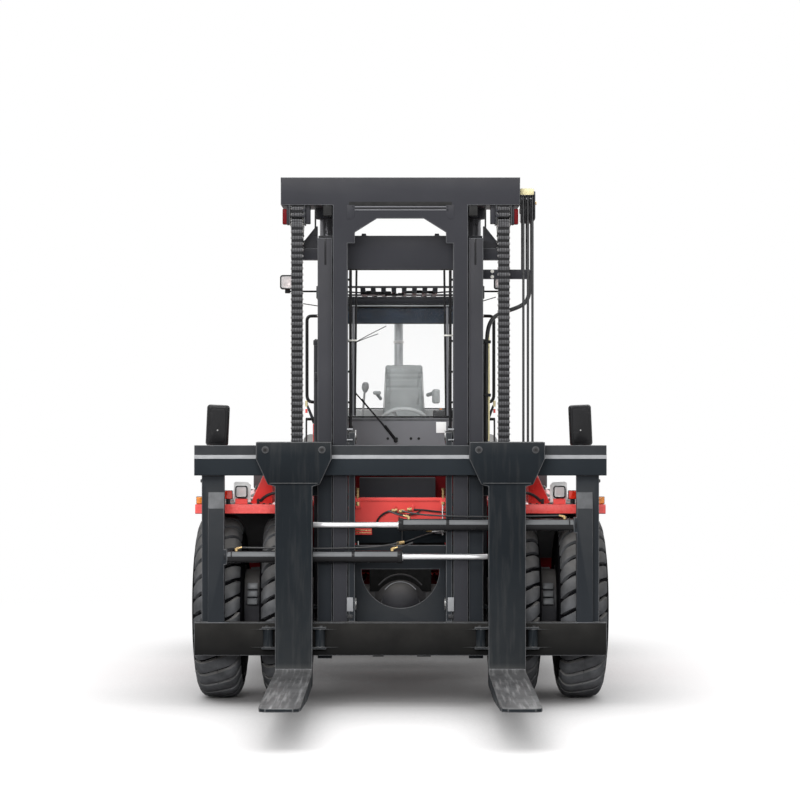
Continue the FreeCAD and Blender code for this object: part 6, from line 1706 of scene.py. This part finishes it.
class FORKLIFT_OT_body(Maker, bpy.types.Operator):
    """Hood louvres, exhaust, decks, tanks and casting details."""
    bl_idname = "forklift.body"
    bl_label = "Body fittings"

    def execute(self, context):
        self.hood()
        self.exhaust()
        self.decks()
        self.casting()
        self.wings()
        return {"FINISHED"}

    def hood(self):
        """Louvres, latches, ribs and top slots."""
        bm = bmesh.new()
        for side in SIDES:
            half = Half(bm, side)
            for y in (2560, 3060, 3560, 4060):
                # A black sheet behind each louvre set: painted shade.
                half.slab(618, 624, y - 20, y + 380, 1560, 1850, 1, 3)
                for step in range(8):
                    z = 1585 + step * 32
                    louvre = ((622, z), (630, z - 6), (631, z + 8), (622, z + 18))
                    plate(bm, [at(side * x, y, up) for x, up in louvre], Vector((0, 0.36, 0)), 0, 1)
            for y in (2500, 4300):
                half.slab(620, 632, y, y + 60, 1470, 1530, 2, 3)
                half.pin((632, y + 30, 1520), (5, 0, 0), 0.012, 3, sides=18)
            half.slab(180, 196, 2480, 4480, 2048, 2054, 0, 2)
        for y in (2800, 3300, 3800):
            for x in range(-140, 141, 28):
                # Black top slots: painted shade.
                slab(bm, x - 8, x + 8, y, y + 260, 2049, 2053.5, 1, 1)
        slab(bm, -90, 90, 2392, 2400, 1900, 1930, 3, 4)
        piece("hood_fittings", bm, "engine_hood", ("red_paint", "black_and_painted_shade", "gloss_black", "zinc"))

    def exhaust(self):
        """Stack with its heat guard, bands and end cap."""
        bm = cad_copy("exhaust_stack")
        soften(bm, 0.003)
        centre = (STACK_X, STACK_Y)
        for face in bm.faces:
            if face.calc_center_median().z > at(0, 0, 2151).z:
                face.material_index = 4
        for c, s in circle(22):
            x, y = STACK_X + 118 * c, STACK_Y + 118 * s
            slab(bm, x - 9, x + 9, y - 2, y + 2, 1560, 2100, 1, 1, None, 1)
        for z in (1556, 1830, 2096):
            turned(bm, [(0.114, -0.012), (0.123, -0.012), (0.123, 0.012), (0.114, 0.012), (0.114, -0.012)],
                   at(*centre, z), (0, 0, 1), 2, 48)
        for z in (2152, 2700):
            turned(bm, [(0.036, 0.0), (0.044, 0.003), (0.044, 0.020), (0.036, 0.023)], at(*centre, z),
                   (0, 0, 1), 2, 32)
        for x in (-470, -400, -280, -212):
            turned(bm, [(0.118, -0.008), (0.124, -0.006), (0.124, 0.006), (0.118, 0.008)],
                   at(x, STACK_Y, 1750), (1, 0, 0), 2, 40)
        turned(bm, [(0.0, 0.024), (0.045, 0.022), (0.070, 0.010), (0.074, 0.0)], at(-480, STACK_Y, 1750),
               (-1, 0, 0), 3, 36)
        piece("exhaust_finished", bm, "chassis", ("axle_paint", "hot_steel", "zinc", "gloss_black",
                                                  "pale_pipe"), ("exhaust_stack",), 30)

    def decks(self):
        """Raised grip bars on the walkways, tank caps, straps, plugs and step treads."""
        bm = bmesh.new()
        for side in SIDES:
            half = Half(bm, side)
            for row in range(24):
                for column in range(6):
                    x, y = side * (760 + column * 105), 1120 + row * 82
                    turn = 0.7 if (row + column) % 2 else -0.7
                    place = Matrix.Translation(at(x, y, 1464)) @ Matrix.Rotation(turn, 4, "Z")
                    settle(bm, cube((0.052, 0.011, 0.005)), 1, 0.002, place, 1)
            for z in (720, 1050):
                for bar in range(5):
                    half.slab(1262, 1422, 1130 + bar * 95, 1152 + bar * 95, z - 1, z + 6, 1, 2)
            turned(bm, [(0.0, 0.040), (0.050, 0.038), (0.060, 0.028), (0.062, 0.0)],
                   at(side * 1180, 2860, 1463), (0, 0, 1), 2, 40)
            for y in (1900, 2700):
                half.slab(1429, 1434, y, y + 46, 560, 1395, 0, 2)
                for z in (600, 1340):
                    half.bolt((1433, y + 23, z), (1, 0, 0), 0.013, 3)
            half.pin((1430, 2960, 620), (16, 0, 0), 0.024, 3, sides=6)
            half.slab(1429, 1438, 2360, 2382, 700, 1300, 2, 2)
            for z in (720, 1280):
                half.pin((1430, 2371, z), (16, 0, 0), 0.016, 3, sides=20)
        piece("deck_fittings", bm, "chassis", ("red_paint", "tread_plate", "gloss_black", "zinc"))
        bm = bmesh.new()
        for half in halves(bm):
            for y0, y1 in ((-520, -120), (60, 700)):
                half.slab(1110, 1480, y0, y1, 1462, 1467, 0, 1.5)
            for y in (-535, 735):
                for x in (800, 950, 1100, 1250, 1400):
                    half.bolt((x, y, 1463), (0, 0, 1), 0.009, 1)
        piece("wing_mats", bm, "chassis", ("floor_mat", "bolt_black"))

    def casting(self):
        """Bolts and seams of the counterweight."""
        bm = bmesh.new()
        back = (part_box("counterweight")[1].y - AXLE_Y) * MM
        for half in halves(bm):
            for z in (1030, 1670):
                for x in (480, 620):
                    half.pin((x, back - 6, z), (0, 6, 0), 0.030, 0, sides=6)
            half.slab(450, 462, back - 8, back - 1, 980, 1720, 0, 2)
            for y in (4900, 5150):
                half.pin((760, y, 1780), (0, 0, 20), 0.034, 1, sides=6)
        piece("casting_fittings", bm, "chassis", ("weight_paint", "bolt_black"))

    def wings(self):
        """Cables, clips and the front band of the wings, lighter as a painted highlight."""
        bm = bmesh.new()
        for half in halves(bm):
            # A lighter red band on the wings' fronts: painted highlight.
            half.slab(727, 1499, -562, -559, 1397, 1462, 0, 1)
            half.hose([(1030, -436, 1480), (1000, -440, 1516), (950, -442, 1540), (900, -440, 1545),
                       (850, -436, 1530), (790, -430, 1490)], 0.011, 1)
            half.slab(1035, 1055, -446, -428, 1462, 1500, 1, 3)
            for x in (770, 860, 1000, 1090):
                half.bolt((x, -520, 1463), (0, 0, 1), 0.008, 2)
            half.slab(735, 1495, 742, 752, 1000, 1395, 1, 4)
        piece("wing_trim", bm, "chassis", ("red_edge", "hose_rubber", "bolt_black"))


class FORKLIFT_PT_panel(bpy.types.Panel):
    """The forklift's makers, in the order they run."""
    bl_idname = "FORKLIFT_PT_panel"
    bl_label = "Forklift"
    bl_space_type = "VIEW_3D"
    bl_region_type = "UI"
    bl_category = "Forklift"

    def draw(self, context):
        for group in (context.scene.forklift_paint, context.scene.forklift_sizes,
                      context.scene.forklift_stage):
            box = self.layout.box()
            for key in group.__annotations__:
                box.prop(group, key)
        for maker in MAKERS:
            self.layout.operator(maker.bl_idname)


MAKERS = (
    FORKLIFT_OT_stage,
    FORKLIFT_OT_plain_finishes,
    FORKLIFT_OT_metalwork,
    FORKLIFT_OT_tyres,
    FORKLIFT_OT_rims,
    FORKLIFT_OT_chains,
    FORKLIFT_OT_hoses,
    FORKLIFT_OT_mast_trim,
    FORKLIFT_OT_cylinders,
    FORKLIFT_OT_cab,
    FORKLIFT_OT_handrails,
    FORKLIFT_OT_lamps,
    FORKLIFT_OT_seat,
    FORKLIFT_OT_cabin,
    FORKLIFT_OT_doors,
    FORKLIFT_OT_body,
)
GROUPS = (ForkliftPaint, ForkliftSizes, ForkliftStage)


def register():
    for cls in GROUPS + MAKERS + (FORKLIFT_PT_panel,):
        bpy.utils.register_class(cls)
    bpy.types.Scene.forklift_paint = PointerProperty(type=ForkliftPaint)
    bpy.types.Scene.forklift_sizes = PointerProperty(type=ForkliftSizes)
    bpy.types.Scene.forklift_stage = PointerProperty(type=ForkliftStage)


def unregister():
    for key in ("forklift_paint", "forklift_sizes", "forklift_stage"):
        delattr(bpy.types.Scene, key)
    for cls in reversed(GROUPS + MAKERS + (FORKLIFT_PT_panel,)):
        bpy.utils.unregister_class(cls)


def main():
    register()
    for maker in MAKERS:
        group, call = maker.bl_idname.split(".")
        getattr(getattr(bpy.ops, group), call)()
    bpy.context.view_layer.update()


if __name__ == "__main__":
    main()
